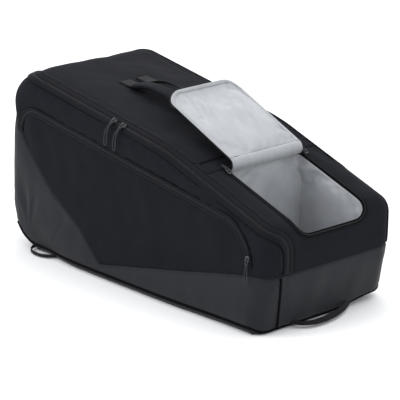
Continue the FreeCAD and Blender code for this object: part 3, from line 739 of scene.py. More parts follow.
def build_panels():
    """The body's fabric, one piece for each sewn panel."""
    co, faces, names = skin_arrays()
    direction = form(co)[1]
    direction[risen(co)[:, 2] <= BASE + 3e-5] = (0, 0, -1)
    shown = co + direction * relief(co)[:, None]
    shown[:, 2] = np.maximum(shown[:, 2], 0.0024)
    panels = {}
    for face, name in zip(faces, names):
        panels.setdefault(name, []).append(face)
    rows = [
        ("top", "top_canvas", CANVAS, "root", ["top_panel"], "canvas"),
        ("surround", "shoe_surround_canvas", CANVAS, "root",
         ["front_shoe_rim", "rear_shoe_rim", "handle_end_panel"], "canvas"),
        ("head_canvas", "head_end_canvas", CANVAS, "root", ["head_end_panel"], "canvas"),
        ("head_coated", "head_end_coated", COATED, "root", ["head_end_skirt"], "coated"),
        ("handle_end", "handle_end_coated", COATED, "root", ["handle_end_skirt"], "coated"),
        ("base", "base_coated", COATED, "root", ["base_panel"], "coated"),
    ]
    for side in SIDES:
        rows += [
            (side + "_coated", side + "_coated_side", COATED, side, [side + "_skirt"], "coated"),
            (side + "_canvas", side + "_canvas_side", CANVAS, side, [side + "_cover"], "canvas"),
            (side + "_pocket", side + "_pocket_canvas", POCKET_CANVAS, side,
             [side + "_pocket_panel"], "canvas"),
        ]
    for panel, name, material, body, nodes, slot in rows:
        used = sorted({i for f in panels[panel] for i in f})
        index = {old: new for new, old in enumerate(used)}
        p, q = shown[used], co[used]
        if panel in ("top", "surround"):
            uv = np.stack([q[:, 0] * 1.03 - q[:, 2] * (q[:, 0] > 0.38), q[:, 1]], 1)
        elif panel == "base":
            uv = q[:, :2]
        elif panel.startswith("head") or panel == "handle_end":
            uv = q[:, 1:]
        else:
            uv = q[:, [0, 2]]
        made = piece(name, p, [[index[i] for i in f] for f in panels[panel]], uv, material, DARK_LINING)
        thicken(made, 0.0035, 1)
        if body == "root":
            rides(made, "root", slot, *nodes)
        else:
            blended(made, body, slot, *nodes)
    return co, faces, names


co, faces, names = build_panels()

# ---------------------------------------------------------------- lines along the seams


def seam_edges():
    """Each edge of the skin with the panels on its two sides."""
    edges = {}
    for face, name in zip(faces, names):
        for a, b in zip(face, face[1:] + face[:1]):
            edges.setdefault((min(a, b), max(a, b)), []).append(name)
    return edges


EDGES = seam_edges()


def even(points, spacing, closed=False):
    """A line with its points at equal steps."""
    if closed:
        points = np.vstack([points, points[:1]])
    steps = np.linalg.norm(np.diff(points, axis=0), axis=1)
    length = np.concatenate([[0], np.cumsum(steps)])
    count = max(3, round(length[-1] / spacing))
    at = np.linspace(0, length[-1], count + 1)
    made = np.stack([np.interp(at, length, axis) for axis in points.T], 1)
    return made[:-1] if closed else made


def smoothed(points, rounds, closed=False):
    """A line with its corners worn down, a little in each round."""
    for _ in range(rounds):
        middle = (np.roll(points, 1, axis=0) + 2 * points + np.roll(points, -1, axis=0)) / 4
        if not closed:
            middle[0], middle[-1] = points[0], points[-1]
        points = middle
    return points


def seam_line(first, second, keep=None, spacing=0.004, closed=False):
    """The line of the seam between two sets of panels, in even steps along the body."""
    linked = {}
    for (a, b), sides in EDGES.items():
        if len(sides) == 2 and any(
            sides[i] in first and sides[1 - i] in second for i in (0, 1)
        ) and (keep is None or (keep(co[a]) and keep(co[b]))):
            linked.setdefault(a, []).append(b)
            linked.setdefault(b, []).append(a)
    best, seen = [], set()
    for start in sorted(linked, key=lambda v: (len(linked[v]) != 1, v)):
        if start in seen:
            continue
        chain = [start]
        seen.add(start)
        while True:
            following = [v for v in linked[chain[-1]] if v not in seen]
            if not following:
                break
            chain.append(following[0])
            seen.add(following[0])
        if len(chain) > len(best):
            best = chain
    line = smoothed(even(co[best], 0.003, closed), 8, closed)
    return on_surface(even(line, spacing, closed))


def directions(line, closed=False):
    """Along a line on the body, across it and off the body, at each of its points."""
    if closed:
        along = np.roll(line, -1, axis=0) - np.roll(line, 1, axis=0)
    else:
        along = np.gradient(line, axis=0)
    along /= np.linalg.norm(along, axis=1)[:, None]
    normal = form(line)[1]
    across = np.cross(normal, along)
    across /= np.linalg.norm(across, axis=1)[:, None]
    return along, across, normal


def facing(line, field, closed=False):
    """The line, turned round if need be so that the field grows on its across side."""
    across = directions(line, closed)[1]
    middle = len(line) // 2
    ahead = field(line[middle:middle + 1] + across[middle:middle + 1] * 0.003)
    behind = field(line[middle:middle + 1] - across[middle:middle + 1] * 0.003)
    return line if ahead[0] > behind[0] else line[::-1].copy()


def lengths(line):
    """How far along a line each of its points is."""
    return np.concatenate([[0], np.cumsum(np.linalg.norm(np.diff(line, axis=0), axis=1))])


def loft(name, rings, material, closed=False, loop=True):
    """A mesh through rings of points; each ring is a closed loop unless loop is False."""
    rings = np.asarray(rings, float)
    rows, cols = rings.shape[:2]
    points = rings.reshape(-1, 3)
    last = rows if closed else rows - 1
    wide = cols if loop else cols - 1
    quads, corners = [], []
    along = lengths(rings[:, 0])
    around = lengths(np.vstack([rings[rows // 2], rings[rows // 2][:1]]))
    step = along[1] if len(along) > 1 else 0.004
    for i in range(last):
        for j in range(wide):
            a, b = i * cols + j, i * cols + (j + 1) % cols
            c, d = ((i + 1) % rows) * cols + (j + 1) % cols, ((i + 1) % rows) * cols + j
            quads.append((a, b, c, d))
            near, far = along[i], along[i] + step if i + 1 == rows else along[i + 1]
            corners += [(near, around[j]), (near, around[j + 1]), (far, around[j + 1]), (far, around[j])]
    if loop and not closed:
        for row in (range(cols), range((rows - 1) * cols, rows * cols)):
            ring = list(row)[::-1] if row[0] == 0 else list(row)
            quads.append(ring)
            corners += [(0.0, around[j % cols]) for j in range(cols)]
    return piece(name, points, quads, corners, material)


def ribbon(name, line, section, material, closed=False):
    """A strip along a line on the body: its section is a loop of distances across and off the body."""
    across = directions(line, closed)[1]
    rings = np.stack([on_surface(line + across * u, h) for u, h in section], 1)
    return loft(name, rings, material, closed)


def strip_section(near, far, low, high, soft=0.0007):
    """The section of a flat folded strip with soft edges and a low crown."""
    middle, crown = (near + far) / 2, 0.0004
    points = [(near, low), (middle, low), (far, low), (far, high - soft), (far - soft, high)]
    points += [(middle, high + crown), (near + soft, high), (near, high - soft)]
    return points[::-1]


def oval(across, up, wide, high, count=8):
    """The section of a cord or piping: a loop of points round a middle."""
    turns = [2 * math.pi * i / count for i in range(count)]
    return [(across + wide * math.cos(t), up + high * math.sin(t)) for t in turns]


def joined(name, parts, material):
    """One mesh from many copies of a small shape: each part is an array of the shape's points."""
    points = np.vstack([shape for shape, _ in parts])
    quads, start = [], 0
    for p, shape_faces in parts:
        quads += [[start + i for i in f] for f in shape_faces]
        start += len(p)
    return piece(name, points, quads, points[:, :2], material)


BEAD_FACES = [(0, 1, 2), (0, 2, 3), (0, 3, 4), (0, 4, 1)]
BEAD_FACES += [(1 + i, 5 + i, 5 + (i + 1) % 4, 1 + (i + 1) % 4) for i in range(4)]
BEAD_FACES += [(9, 5 + (i + 1) % 4, 5 + i) for i in range(4)]


def bead(centre, along, across, normal, long, wide, high, sink):
    """A small round-ended bar: a stitch or a zip tooth, with its ends sunk."""
    ring = [(-1, 0), (0, 1), (1, 0), (0, -1)]
    points = [centre - along * long / 2 - normal * sink]
    for end in (-0.30, 0.30):
        points += [centre + along * long * end + across * wide / 2 * u + normal * high / 2 * v for u, v in ring]
    points.append(centre + along * long / 2 - normal * sink)
    return np.array(points)


def row_of_beads(name, line, u, material, pitch, long, wide, high, closed, turned, lift, flat):
    """Stitches or zip teeth at even steps beside a line on the body."""
    across = directions(line, closed)[1]
    beside = on_surface(even(on_surface(line + across * u), pitch, closed))
    along, across, normal = directions(beside, closed)
    lift = lift + (0 if flat else relief(beside))
    places = beside + normal * np.reshape(lift, (-1, 1))
    if turned:
        along, across = across, along
    parts = [
        (bead(p, a, b, n, long, wide, high, high * 0.35), BEAD_FACES)
        for p, a, b, n in zip(places, along, across, normal)
    ]
    return joined(name, parts, material)


STITCH_PITCH, STITCH = 0.0042, (0.0030, 0.0010, 0.0009)


def stitches(name, line, u, closed=False, lift=0.0002, flat=False):
    """Stitches beside a line on the body."""
    return row_of_beads(name, line, u, THREAD, STITCH_PITCH, *STITCH, closed, False, lift, flat)


def teeth(name, line, u, closed=False, lift=0.0012):
    """Zip teeth beside a line on the body."""
    return row_of_beads(name, line, u, COIL, 0.0024, 0.0026, 0.0012, 0.0016, closed, True, lift, True)


# ---------------------------------------------------------------- zips, piping and stitching on the body


def build_main_zip(side):
    """The long zip: a folded strip above it on the frame and one below it on the cover, and the teeth."""
    cover = [side + "_canvas", side + "_coated"]
    rest = ["top", "surround", "head_canvas", "head_coated"]
    line = seam_line(cover, rest, lambda p: p[2] > 0.1265)
    line = facing(line, cover_field)
    body = side + "_cover"
    above = strip_section(0.0008, 0.0134, -0.0012, 0.0019, 0.0009)
    below = strip_section(-0.0134, -0.0008, -0.0012, 0.0019, 0.0009)
    # The strips' colour is painted darker than the fabric, as painted shade against the light on their raised
    # edges.
    upper = ribbon(side + "_zip_strip_upper", line, above, FLAP_STRIP_WITH_PAINTED_SHADE)
    lower = ribbon(side + "_zip_strip_lower", line, below, FLAP_STRIP_WITH_PAINTED_SHADE)
    rides(upper, "root", "zip_tape", side + "_frame_zip_tape")
    rides(lower, body, "zip_tape", side + "_cover_zip_tape")
    for place, u, rider in (("upper", 0.0143, "root"), ("lower", -0.0143, body)):
        # These dark beads at the strips' edges are painted shade, the gap shadow beside each strip.
        edge = oval(u, 0.0003, 0.0009, 0.0009)
        rides(ribbon(f"{side}_zip_edge_{place}", line, edge, BINDING_WITH_CREASE_SHADE), rider, "zip_tape")
    rides(teeth(side + "_zip_teeth_upper", line, 0.0008), "root", "zip_tape")
    rides(teeth(side + "_zip_teeth_lower", line, -0.0008), body, "zip_tape")
    rides(stitches(side + "_zip_stitch_upper", line, 0.0114, lift=0.0021, flat=True), "root", "zip_tape")
    rides(stitches(side + "_zip_stitch_lower", line, -0.0114, lift=0.0021, flat=True), body, "zip_tape")
    rides(stitches(side + "_zip_seam_upper", line, 0.0180), "root", "canvas")
    rides(stitches(side + "_zip_seam_lower", line, -0.0180), body, "canvas")
    return line


def build_pocket_zip(side):
    """The zip of the flat side pocket, curling down at both ends."""
    line = seam_line([side + "_pocket"], [side + "_canvas"], lambda p: p[2] > 0.138)
    line = facing(line, pocket_field)
    body = side + "_cover"
    sizes = {"upper": (0.0008, 0.0086), "lower": (-0.0086, -0.0008)}
    for place, (near, far) in sizes.items():
        section = strip_section(near, far, -0.0008, 0.0022)
        made = ribbon(f"{side}_pocket_strip_{place}", line, section, FLAP_STRIP_WITH_PAINTED_SHADE)
        rides(made, body, "zip_tape", *([side + "_pocket_zip_tape"] if place == "upper" else []))
        sign = 1 if place == "upper" else -1
        edge = oval(0.0094 * sign, 0.0003, 0.0008, 0.0008)
        rides(ribbon(f"{side}_pocket_edge_{place}", line, edge, BINDING_WITH_CREASE_SHADE), body, "zip_tape")
        rides(teeth(f"{side}_pocket_teeth_{place}", line, 0.0007 * sign), body, "zip_tape")
        seam = stitches(f"{side}_pocket_stitch_{place}", line, 0.0070 * sign, lift=0.0023, flat=True)
        rides(seam, body, "zip_tape")


def build_body_trim():
    """Piping, seam tape and stitching on the sewn edges of the body."""
    for side in SIDES:
        coated_seam = seam_line([side + "_coated"], [side + "_canvas", side + "_pocket"])
        coated_seam = facing(coated_seam, coated_field)
        blended(stitches(side + "_coated_stitch", coated_seam, -0.0035), side, "canvas")
        for end, panel in (("handle", "handle_end"), ("head", "head_coated")):
            corner = seam_line([side + "_coated"], [panel], lambda p: p[2] < 0.1222)
            # The piping's darkened colour is partly its own black and partly painted crease shadow.
            pipe = ribbon(f"{side}_{end}_piping", corner, oval(0, 0.0006, 0.0023, 0.0023), BINDING_WITH_CREASE_SHADE)
            rides(pipe, "root", "coated")
    around = ["front_coated", "rear_coated", "handle_end", "head_coated"]
    foot = seam_line(["base"], around, closed=True, spacing=0.005)
    rides(ribbon("base_piping", foot, oval(0, 0.0004, 0.0021, 0.0021), BINDING_WITH_CREASE_SHADE, True), "root", "coated")
    foot = facing(foot, base_field, True)
    rides(stitches("base_stitch", foot, -0.0050, closed=True), "root", "coated")
    for name, first, second, keep in (
        ("handle_end_seam", ["surround"], ["handle_end"], None),
        ("front_hinge_seam", ["top"], ["surround"], lambda p: p[1] < -0.112),
        ("rear_hinge_seam", ["top"], ["surround"], lambda p: p[1] > 0.112),
        ("head_top_seam", ["top"], ["head_canvas"], None),
        ("head_middle_seam", ["head_canvas"], ["head_coated"], None),
    ):
        line = seam_line(first, second, keep)
        rides(stitches(name + "_stitch", line, 0.0032), "root", "canvas")


def build_rim():
    """The zip tape, teeth and binding round the edge of the shoe opening."""
    line = seam_line(["opening"], ["surround", "top"], closed=True)
    line = facing(line, opening_field, True)
    # The rim tape's darkened colour is partly painted shade, the dark line round the opening.
    tape = ribbon("shoe_rim_tape", line, strip_section(0.0004, 0.0100, -0.0010, 0.0016), TAPE_WITH_PAINTED_SHADE, True)
    rides(tape, "root", "zip_tape", "shoe_zip_tape")
    edge = ribbon("shoe_rim_binding", line, oval(0, -0.0012, 0.0021, 0.0021), BINDING_WITH_CREASE_SHADE, True)
    rides(edge, "root", "zip_tape")
    rides(teeth("shoe_rim_teeth", line, 0.0018, True, 0.0022), "root", "zip_tape")
    rides(stitches("shoe_rim_stitch", line, 0.0080, closed=True, lift=0.0018, flat=True), "root", "zip_tape")
    return line


for side in SIDES:
    build_main_zip(side)
    build_pocket_zip(side)
build_body_trim()
rim_line = build_rim()

# ---------------------------------------------------------------- cloth under light pressure


def simulate(obj, held, pressure, cap, grow):
    """Lets a soft piece swell and wrinkle as cloth between its held points, by at most about cap."""
    mesh, frames = obj.data, 20
    rest = np.zeros(len(mesh.vertices) * 3)
    mesh.vertices.foreach_get("co", rest)
    rest = rest.reshape(-1, 3)
    group = obj.vertex_groups.new(name="held")
    group.add([int(i) for i in np.flatnonzero(held)], 1.0, "REPLACE")
    cloth = obj.modifiers.new("cloth", "CLOTH")
    settings = cloth.settings
    settings.quality = 5
    settings.mass = 0.2
    settings.tension_stiffness = settings.compression_stiffness = 15.0
    settings.shear_stiffness = 5.0
    settings.bending_stiffness = 0.05
    settings.vertex_group_mass = "held"
    settings.shrink_min = -grow
    settings.use_pressure = True
    settings.uniform_pressure_force = pressure
    settings.effector_weights.gravity = 0.0
    cloth.point_cache.frame_start, cloth.point_cache.frame_end = 1, frames
    for number in range(1, frames + 1):
        scene.frame_set(number)
    evaluated = obj.evaluated_get(bpy.context.evaluated_depsgraph_get())
    moved = np.zeros(len(rest) * 3)
    evaluated.data.vertices.foreach_get("co", moved)
    step = moved.reshape(-1, 3) - rest
    obj.modifiers.remove(cloth)
    obj.vertex_groups.remove(group)
    scene.frame_set(1)
    size = np.maximum(np.linalg.norm(step, axis=1), 1e-9)
    step *= (cap * np.tanh(size / cap) / size)[:, None]
    mesh.vertices.foreach_set("co", (rest + step).ravel())
    mesh.update()
    return obj


def unit(v):
    """Directions of length one."""
    return v / np.maximum(np.linalg.norm(v, axis=-1), 1e-9)[..., None]


def seated(p, lift=0.0):
    """Points on the fabric itself, with its crowns and dents, and then off it by a lift."""
    p = on_surface(p)
    return p + form(p)[1] * (relief(p) + lift)[:, None]


def curve(points, spacing=0.004, rounds=14):
    """A smooth line through a few points, in even steps."""
    return even(smoothed(even(np.array(points, float), 0.003), rounds), spacing)


def crosswise(line, wide, closed=False):
    """Square to a free line at each point: the way nearest to wide, and the third way."""
    if closed:
        along = unit(np.roll(line, -1, axis=0) - np.roll(line, 1, axis=0))
    else:
        along = unit(np.gradient(line, axis=0))
    wide = np.broadcast_to(np.asarray(wide, float), line.shape)
    wide = unit(wide - along * np.sum(wide * along, 1)[:, None])
    return wide, np.cross(wide, along)


def strap(name, line, wide, width, thick, material, soft=0.0006):
    """Flat webbing along a line; wide points across it, in one direction or one for each point."""
    wide, up = crosswise(line, wide)
    w, t = width / 2, thick / 2
    section = [(-w, -t + soft), (-w + soft, -t), (-w / 2, -t), (0, -t)]
    section += [(w / 2, -t), (w - soft, -t), (w, -t + soft)]
    section += [(-u, -v) for u, v in section]
    rings = np.stack([line + wide * u + up * v for u, v in section], 1)
    return loft(name, rings, material)


def tube(name, line, wide, radius, thick, material, count=8, closed=False):
    """A cord or rod along a line, as thick as asked in its other direction."""
    wide, up = crosswise(line, wide, closed)
    rings = np.stack([line + wide * u + up * v for u, v in oval(0, 0, radius, thick, count)], 1)
    return loft(name, rings, material, closed)


def sewn(name, line, wide, gap, off):
    """A row of stitches beside a free line: gap across it and off along the surface's direction."""
    wide, up = crosswise(line, wide)
    places = even(np.hstack([line + wide * gap + up * off, wide, up]), STITCH_PITCH)
    along = unit(np.gradient(places[:, :3], axis=0))
    parts = [
        (bead(p[:3], a, unit(p[3:6]), unit(p[6:]), *STITCH, STITCH[-1] * 0.35), BEAD_FACES)
        for p, a in zip(places, along)
    ]
    return joined(name, parts, THREAD)


# ---------------------------------------------------------------- the shoe flap and the liner

JOINTS = {joint["name"]: joint for joint in frame["joints"]}
FLAP = JOINTS["shoe_flap_close"]
FLAP_POS = np.array(FLAP["pos_m"])
FLAP_OPEN = -FLAP["range_deg"][1]
FLAP_HALF, FLAP_ROUND, FLAP_TIP = 0.0972, 0.036, 0.207
HANDLE_SLOPE = math.atan(HANDLE_FALL)
HANDLE_NORMAL = np.array([math.sin(HANDLE_SLOPE), 0, math.cos(HANDLE_SLOPE)])


def opened(p, pos=FLAP_POS):
    """Points of the shut flap, turned about its hinge to where it lies at rest."""
    turn = np.array(Matrix.Rotation(math.radians(FLAP_OPEN), 3, Vector(FLAP["axis"])))
    return (np.asarray(p, float) - pos) @ turn.T + pos


def flap_path():
    """The line of the shut flap from its hinge to its lip, in the side view, and the way out at each point."""
    on = (OUTLINE[:, 0] >= HINGE_X + 0.001) & (OUTLINE[:, 1] >= FLAP_TIP)
    start = np.array([[HINGE_X, float(top_line(np.array(HINGE_X)))]])
    line = even(np.vstack([start, OUTLINE[on]]), 0.004)
    way = unit(np.gradient(line, axis=0))
    return line, np.stack([-way[:, 1], way[:, 0]], 1)


PATH, PATH_OUT = flap_path()
PATH_AT = lengths(PATH)


def on_flap(s, y, depth):
    """Points at a length from the hinge, a place across and a depth under the shut flap's outer face."""
    s, y, depth = np.broadcast_arrays(s, y, depth)
    x = np.interp(s, PATH_AT, PATH[:, 0]) - depth * np.interp(s, PATH_AT, PATH_OUT[:, 0])
    z = np.interp(s, PATH_AT, PATH[:, 1]) - depth * np.interp(s, PATH_AT, PATH_OUT[:, 1])
    return np.stack([x, y, z], -1)


def flap_grid(inset):
    """The lengths from the hinge and places across of an even sheet over the flap."""
    spacing = 0.0042
    reach, corner = PATH_AT[-1] - inset, FLAP_ROUND - inset
    s = np.linspace(0.0, reach, round(reach / spacing) + 1)
    left = np.minimum(reach - s, corner)
    half = FLAP_HALF - inset - corner + np.sqrt(np.maximum(corner ** 2 - (corner - left) ** 2, 0))
    across = np.linspace(-1, 1, round(2 * FLAP_HALF / spacing) + 1)
    return np.repeat(s[:, None], len(across), 1), half[:, None] * across[None]


def flap_edge():
    """The free edge of the shut flap, with the way out of the flap and the way off it at each point."""
    reach, half, corner = PATH_AT[-1], FLAP_HALF, FLAP_ROUND
    side = np.linspace(0.0, reach - corner, 60)
    turn = np.radians(np.linspace(-90, 0, 16)[1:])
    s = np.concatenate([side, reach - corner + corner * np.cos(turn)])
    y = np.concatenate([-half + 0 * side, -(half - corner) + corner * np.sin(turn)])
    s, y = np.concatenate([s, s[::-1]]), np.concatenate([y, -y[::-1]])
    flat = even(np.stack([s, y], 1), 0.003)
    line = on_flap(flat[:, 0], flat[:, 1], 0.0)
    off = np.stack([np.interp(flat[:, 0], PATH_AT, PATH_OUT[:, 0]), 0 * flat[:, 0],
                    np.interp(flat[:, 0], PATH_AT, PATH_OUT[:, 1])], 1)
    out = unit(np.cross(unit(np.gradient(line, axis=0)), off))
    return line, out, off


def build_flap():
    """The shoe flap folded back: fabric outside, a silver lining that wrinkles, a bound edge and its zip."""
    s, y = flap_grid(0.0)
    bow = 0.0006 * waves(np.stack([s.ravel(), y.ravel(), 0 * s.ravel()], 1), 0.09, 21).reshape(s.shape)
    outside = loft("shoe_flap_canvas", opened(on_flap(s, y, 0.0002 - bow))[:, ::-1], CANVAS, loop=False)
    thicken(outside, 0.0030)
    rides(outside, "shoe_flap", "canvas", "shoe_flap_panel")

    s, y = flap_grid(0.0030)
    reach = PATH_AT[-1]
    edge = np.minimum(np.minimum(FLAP_HALF - np.abs(y), reach - s), s + 0.004)
    calm = 1 - bell(np.maximum(edge, 0), 0.020)
    rng = np.random.default_rng(22)
    folds = np.zeros(s.shape)
    for _ in range(9):
        angle = rng.uniform(-0.55, 0.15)
        length = rng.uniform(0.026, 0.052)
        fade = s / rng.uniform(0.025, 0.05) + y / rng.uniform(0.03, 0.06) + rng.uniform(0, 6)
        fade = 0.5 + 0.5 * np.sin(fade)
        folds += fade * np.sin(2 * math.pi * (y + math.tan(angle) * s) / length + rng.uniform(0, 6.28))
    depth = 0.0036 + 0.0032 * calm + 0.00055 * folds * calm
    lining = loft("shoe_flap_satin", opened(on_flap(s, y, depth)), SATIN, loop=False)
    rest = np.array([v.co for v in lining.data.vertices])
    way = unit(opened(on_flap(s, y, depth + 0.01)).reshape(-1, 3) - rest)
    simulate(lining, (edge < 0.0065).ravel(), 0.35, 0.0040, grow=0.035)
    moved = np.array([v.co for v in lining.data.vertices])
    rise, least = np.sum((moved - rest) * way, 1), np.minimum(depth, 0.0052).ravel() - depth.ravel()
    moved += way * np.maximum(least - rise, 0)[:, None]
    lining.data.vertices.foreach_set("co", moved.ravel())
    thicken(lining, 0.0010)
    rides(lining, "shoe_flap", "lining", "shoe_flap_lining")

    line, out, off = flap_edge()
    line, out, off = line[::-1], out[::-1], off[::-1]

    def around(name, section, material):
        rings = np.stack([line + out * u - off * d for u, d in section], 1)
        return loft(name, opened(rings), material)

    binding = around("shoe_flap_binding", oval(-0.0032, 0.0042, 0.0044, 0.0023, 10), EDGING)
    rides(binding, "shoe_flap", "lining")
    tape = around("shoe_flap_tape", oval(-0.0030, 0.0002, 0.0050, 0.0010, 10), TAPE_WITH_PAINTED_SHADE)
    rides(tape, "shoe_flap", "zip_tape", "shoe_flap_zip_tape")
    piping = around("shoe_flap_piping", oval(0.0001, 0.0021, 0.0014, 0.0017, 10), BINDING_WITH_CREASE_SHADE)
    rides(piping, "shoe_flap", "zip_tape")

    def edge_beads(name, u, d, material, pitch, long, wide, high, across=False):
        places = even(np.hstack([line + out * u - off * d, out, off]), pitch)
        places[:, :3] = opened(places[:, :3])
        ways = [opened(places[:, k:k + 3], 0.0) for k in (3, 6)]
        along = unit(np.gradient(places[:, :3], axis=0))
        parts = []
        for p, a, o, n in zip(places[:, :3], along, *ways):
            a, o = (o, a) if across else (a, o)
            parts.append((bead(p, a, o, n, long, wide, high, high * 0.3), BEAD_FACES))
        return rides(joined(name, parts, material), "shoe_flap", "zip_tape")

    edge_beads("shoe_flap_stitch", -0.0050, 0.0064, PALE_THREAD, 0.0042, 0.0030, 0.0009, 0.0008)
    edge_beads("shoe_flap_teeth", 0.0007, 0.0006, COIL, 0.0024, 0.0026, 0.0012, 0.0015, True)


def build_fold():
    """The fabric and lining that fold over at the flap's hinge."""
    rise = float(np.linalg.norm(FLAP_POS[[0, 2]] - PATH[0]))
    turn = np.radians(np.linspace(0, -FLAP_OPEN, 22))
    start = -HANDLE_NORMAL
    side = np.array([HANDLE_NORMAL[2], 0, -HANDLE_NORMAL[0]])
    ways = np.cos(turn)[:, None] * start + np.sin(turn)[:, None] * side
    low, high = FLAP_POS - HANDLE_NORMAL * rise, FLAP_POS + ways[-1] * rise
    for name, near, far, half, material, slot in (
        ("shoe_fold_canvas", rise - 0.0001, rise + 0.0030, 0.0995, CANVAS, "canvas"),
        ("shoe_fold_satin", rise + 0.0031, rise + 0.0050, 0.0985, SATIN, "lining"),
    ):
        rings = []
        for y in np.linspace(-half, half, 41):
            pucker = 0.0 if slot == "canvas" else 0.0006 * math.sin(y * 260) * math.sin(y * 97 + 1)
            inner = [FLAP_POS + way * near for way in ways]
            outer = [FLAP_POS + way * (far + pucker * math.sin(a)) for way, a in zip(ways, turn)]
            rings.append([p + [0, y, 0] for p in inner + outer[::-1]])
        made = loft(name, np.array(rings), material)
        bends(made, "shoe_flap", slot, low, high)


def build_liner():
    """The silver lining of the shoe compartment: a soft tub hung from the rim of the opening."""
    rim = even(smoothed(rim_line, 6, True), 0.0062, True)
    normal = form(rim)[1]
    middle = np.array([0.29, 0.0, 0.0])
    inward = unit((middle - rim) * [1, 1, 0])
    top = rim - normal * 0.0042 + inward * 0.0006
    floor = np.stack([np.clip(rim[:, 0], 0.1995, 0.372), np.clip(rim[:, 1] * 1.06, -0.107, 0.107),
                      np.full(len(rim), 0.0635)], 1)
    rings, walls = [], 36
    for i in range(walls + 1):
        t = i / walls
        ring = top + (floor - top) * t
        swell = math.sin(math.pi * min(t * 1.02, 1.0))
        place = np.arange(len(rim))
        folds = np.sin(place * 0.42 + 1.4 * math.sin(t * 3.0)) + np.sin(place * 0.23 + 2)
        ring = ring + inward * (swell * (0.0030 + 0.0016 * folds))[:, None]
        rings.append(ring)
    centre = floor.mean(0)
    for k in (0.93, 0.85, 0.75, 0.62, 0.5, 0.38, 0.26, 0.14, 0.05):
        rings.append(centre + (floor - centre) * k + [0, 0, 0.0015 * math.sin(k * 20)])
    rings = np.array(rings)
    tub = loft("shoe_liner_satin", rings[:, ::-1], SATIN)
    first = [p for p in tub.data.polygons if len(p.vertices) > 8 and p.vertices[0] < len(rim)]
    bm = bmesh.new()
    bm.from_mesh(tub.data)
    bm.faces.ensure_lookup_table()
    bmesh.ops.delete(bm, geom=[bm.faces[p.index] for p in first], context="FACES_ONLY")
    bm.to_mesh(tub.data)
    bm.free()
    held = np.zeros(len(rings) * len(rim), bool)
    held[:2 * len(rim)] = True
    held[(walls - 1) * len(rim):] = True
    simulate(tub, held, 0.25, 0.0060, grow=0.035)
    thicken(tub, 0.0010)
    rides(tub, "root", "lining", "shoe_liner")


build_flap()
build_fold()
build_liner()

# ---------------------------------------------------------------- handles and loops

HEAD_SLOPE = math.atan(HEAD_FALL)
HEAD_WAY = np.array([math.cos(HEAD_SLOPE), 0, -math.sin(HEAD_SLOPE)])
HEAD_NORMAL = np.array([math.sin(HEAD_SLOPE), 0, math.cos(HEAD_SLOPE)])
CARRY_X, CARRY_Y = -0.067, 0.024
# the carry handle's route in millimetres: how far along the top from its middle, and how high over it
CARRY = [(-134, 2), (-108, 2), (-96, 6), (-72, 16), (-42, 23), (0, 25), (30, 22), (55, 18), (80, 13), (100, 4),
         (108, 2), (134, 2)]


def carry_middle(y):
    """The place on the top under the middle of a carry handle."""
    return np.array([CARRY_X, y, float(top_line(np.array(CARRY_X)))])


def carry_fold(line):
    """Where a carry handle leaves the top: the places between which it begins to bend."""
    return line[0] + HEAD_NORMAL * 0.0008, line[0] + HEAD_NORMAL * 0.013


def carry_line(y, first=-134, last=134):
    """The line of a carry handle over the top, between two places along it."""
    start = carry_middle(y)
    route = [start + HEAD_WAY * s / 1000 + HEAD_NORMAL * (lift / 1000 + 0.002) for s, lift in CARRY]
    line = curve(route, 0.002, 20)
    s = (line - start) @ HEAD_WAY * 1000
    return even(line[(s >= first) & (s <= last)], 0.004)


def build_carry_handles():
    """Two webbing handles over the top, each sewn down with a cross at both ends."""
    for side, sign in SIDES.items():
        line = carry_line(sign * CARRY_Y)
        s = (line[:, 0] - CARRY_X) * 1000
        lift = (line - line[0]) @ HEAD_NORMAL
        roll = np.radians(26.0 if side == "rear" else 5.0) * np.clip(lift / 0.018, 0, 1)
        wide = np.stack([0 * s, np.cos(roll), 0 * s], 1) - HEAD_NORMAL * np.sin(roll)[:, None]
        body = side + "_carry_handle"
        low, high = carry_fold(line)
        web = strap(body + "_web", line, wide, 0.030, 0.0028, WEBBING)
        bends(web, body, "webbing", low, high, body)
        for edge in (-0.0125, 0.0125):
            seam = sewn(f"{body}_stitch_{'near' if edge < 0 else 'far'}", line, wide, edge, 0.0014)
            bends(seam, body, "webbing", low, high)
        for end, (first, last) in (("head", (-134, -106)), ("handle", (106, 134))):
            flat = carry_line(sign * CARRY_Y, first, last)
            for number, half_cross in enumerate((0.011, -0.011)):
                row = np.linspace(flat[0] + [0, half_cross, 0], flat[-1] - [0, half_cross, 0], 9)
                seam = sewn(f"{body}_{end}_cross_{number}", row, (0, 1, 0.01), 0, 0.0014)
                rides(seam, "root", "webbing")


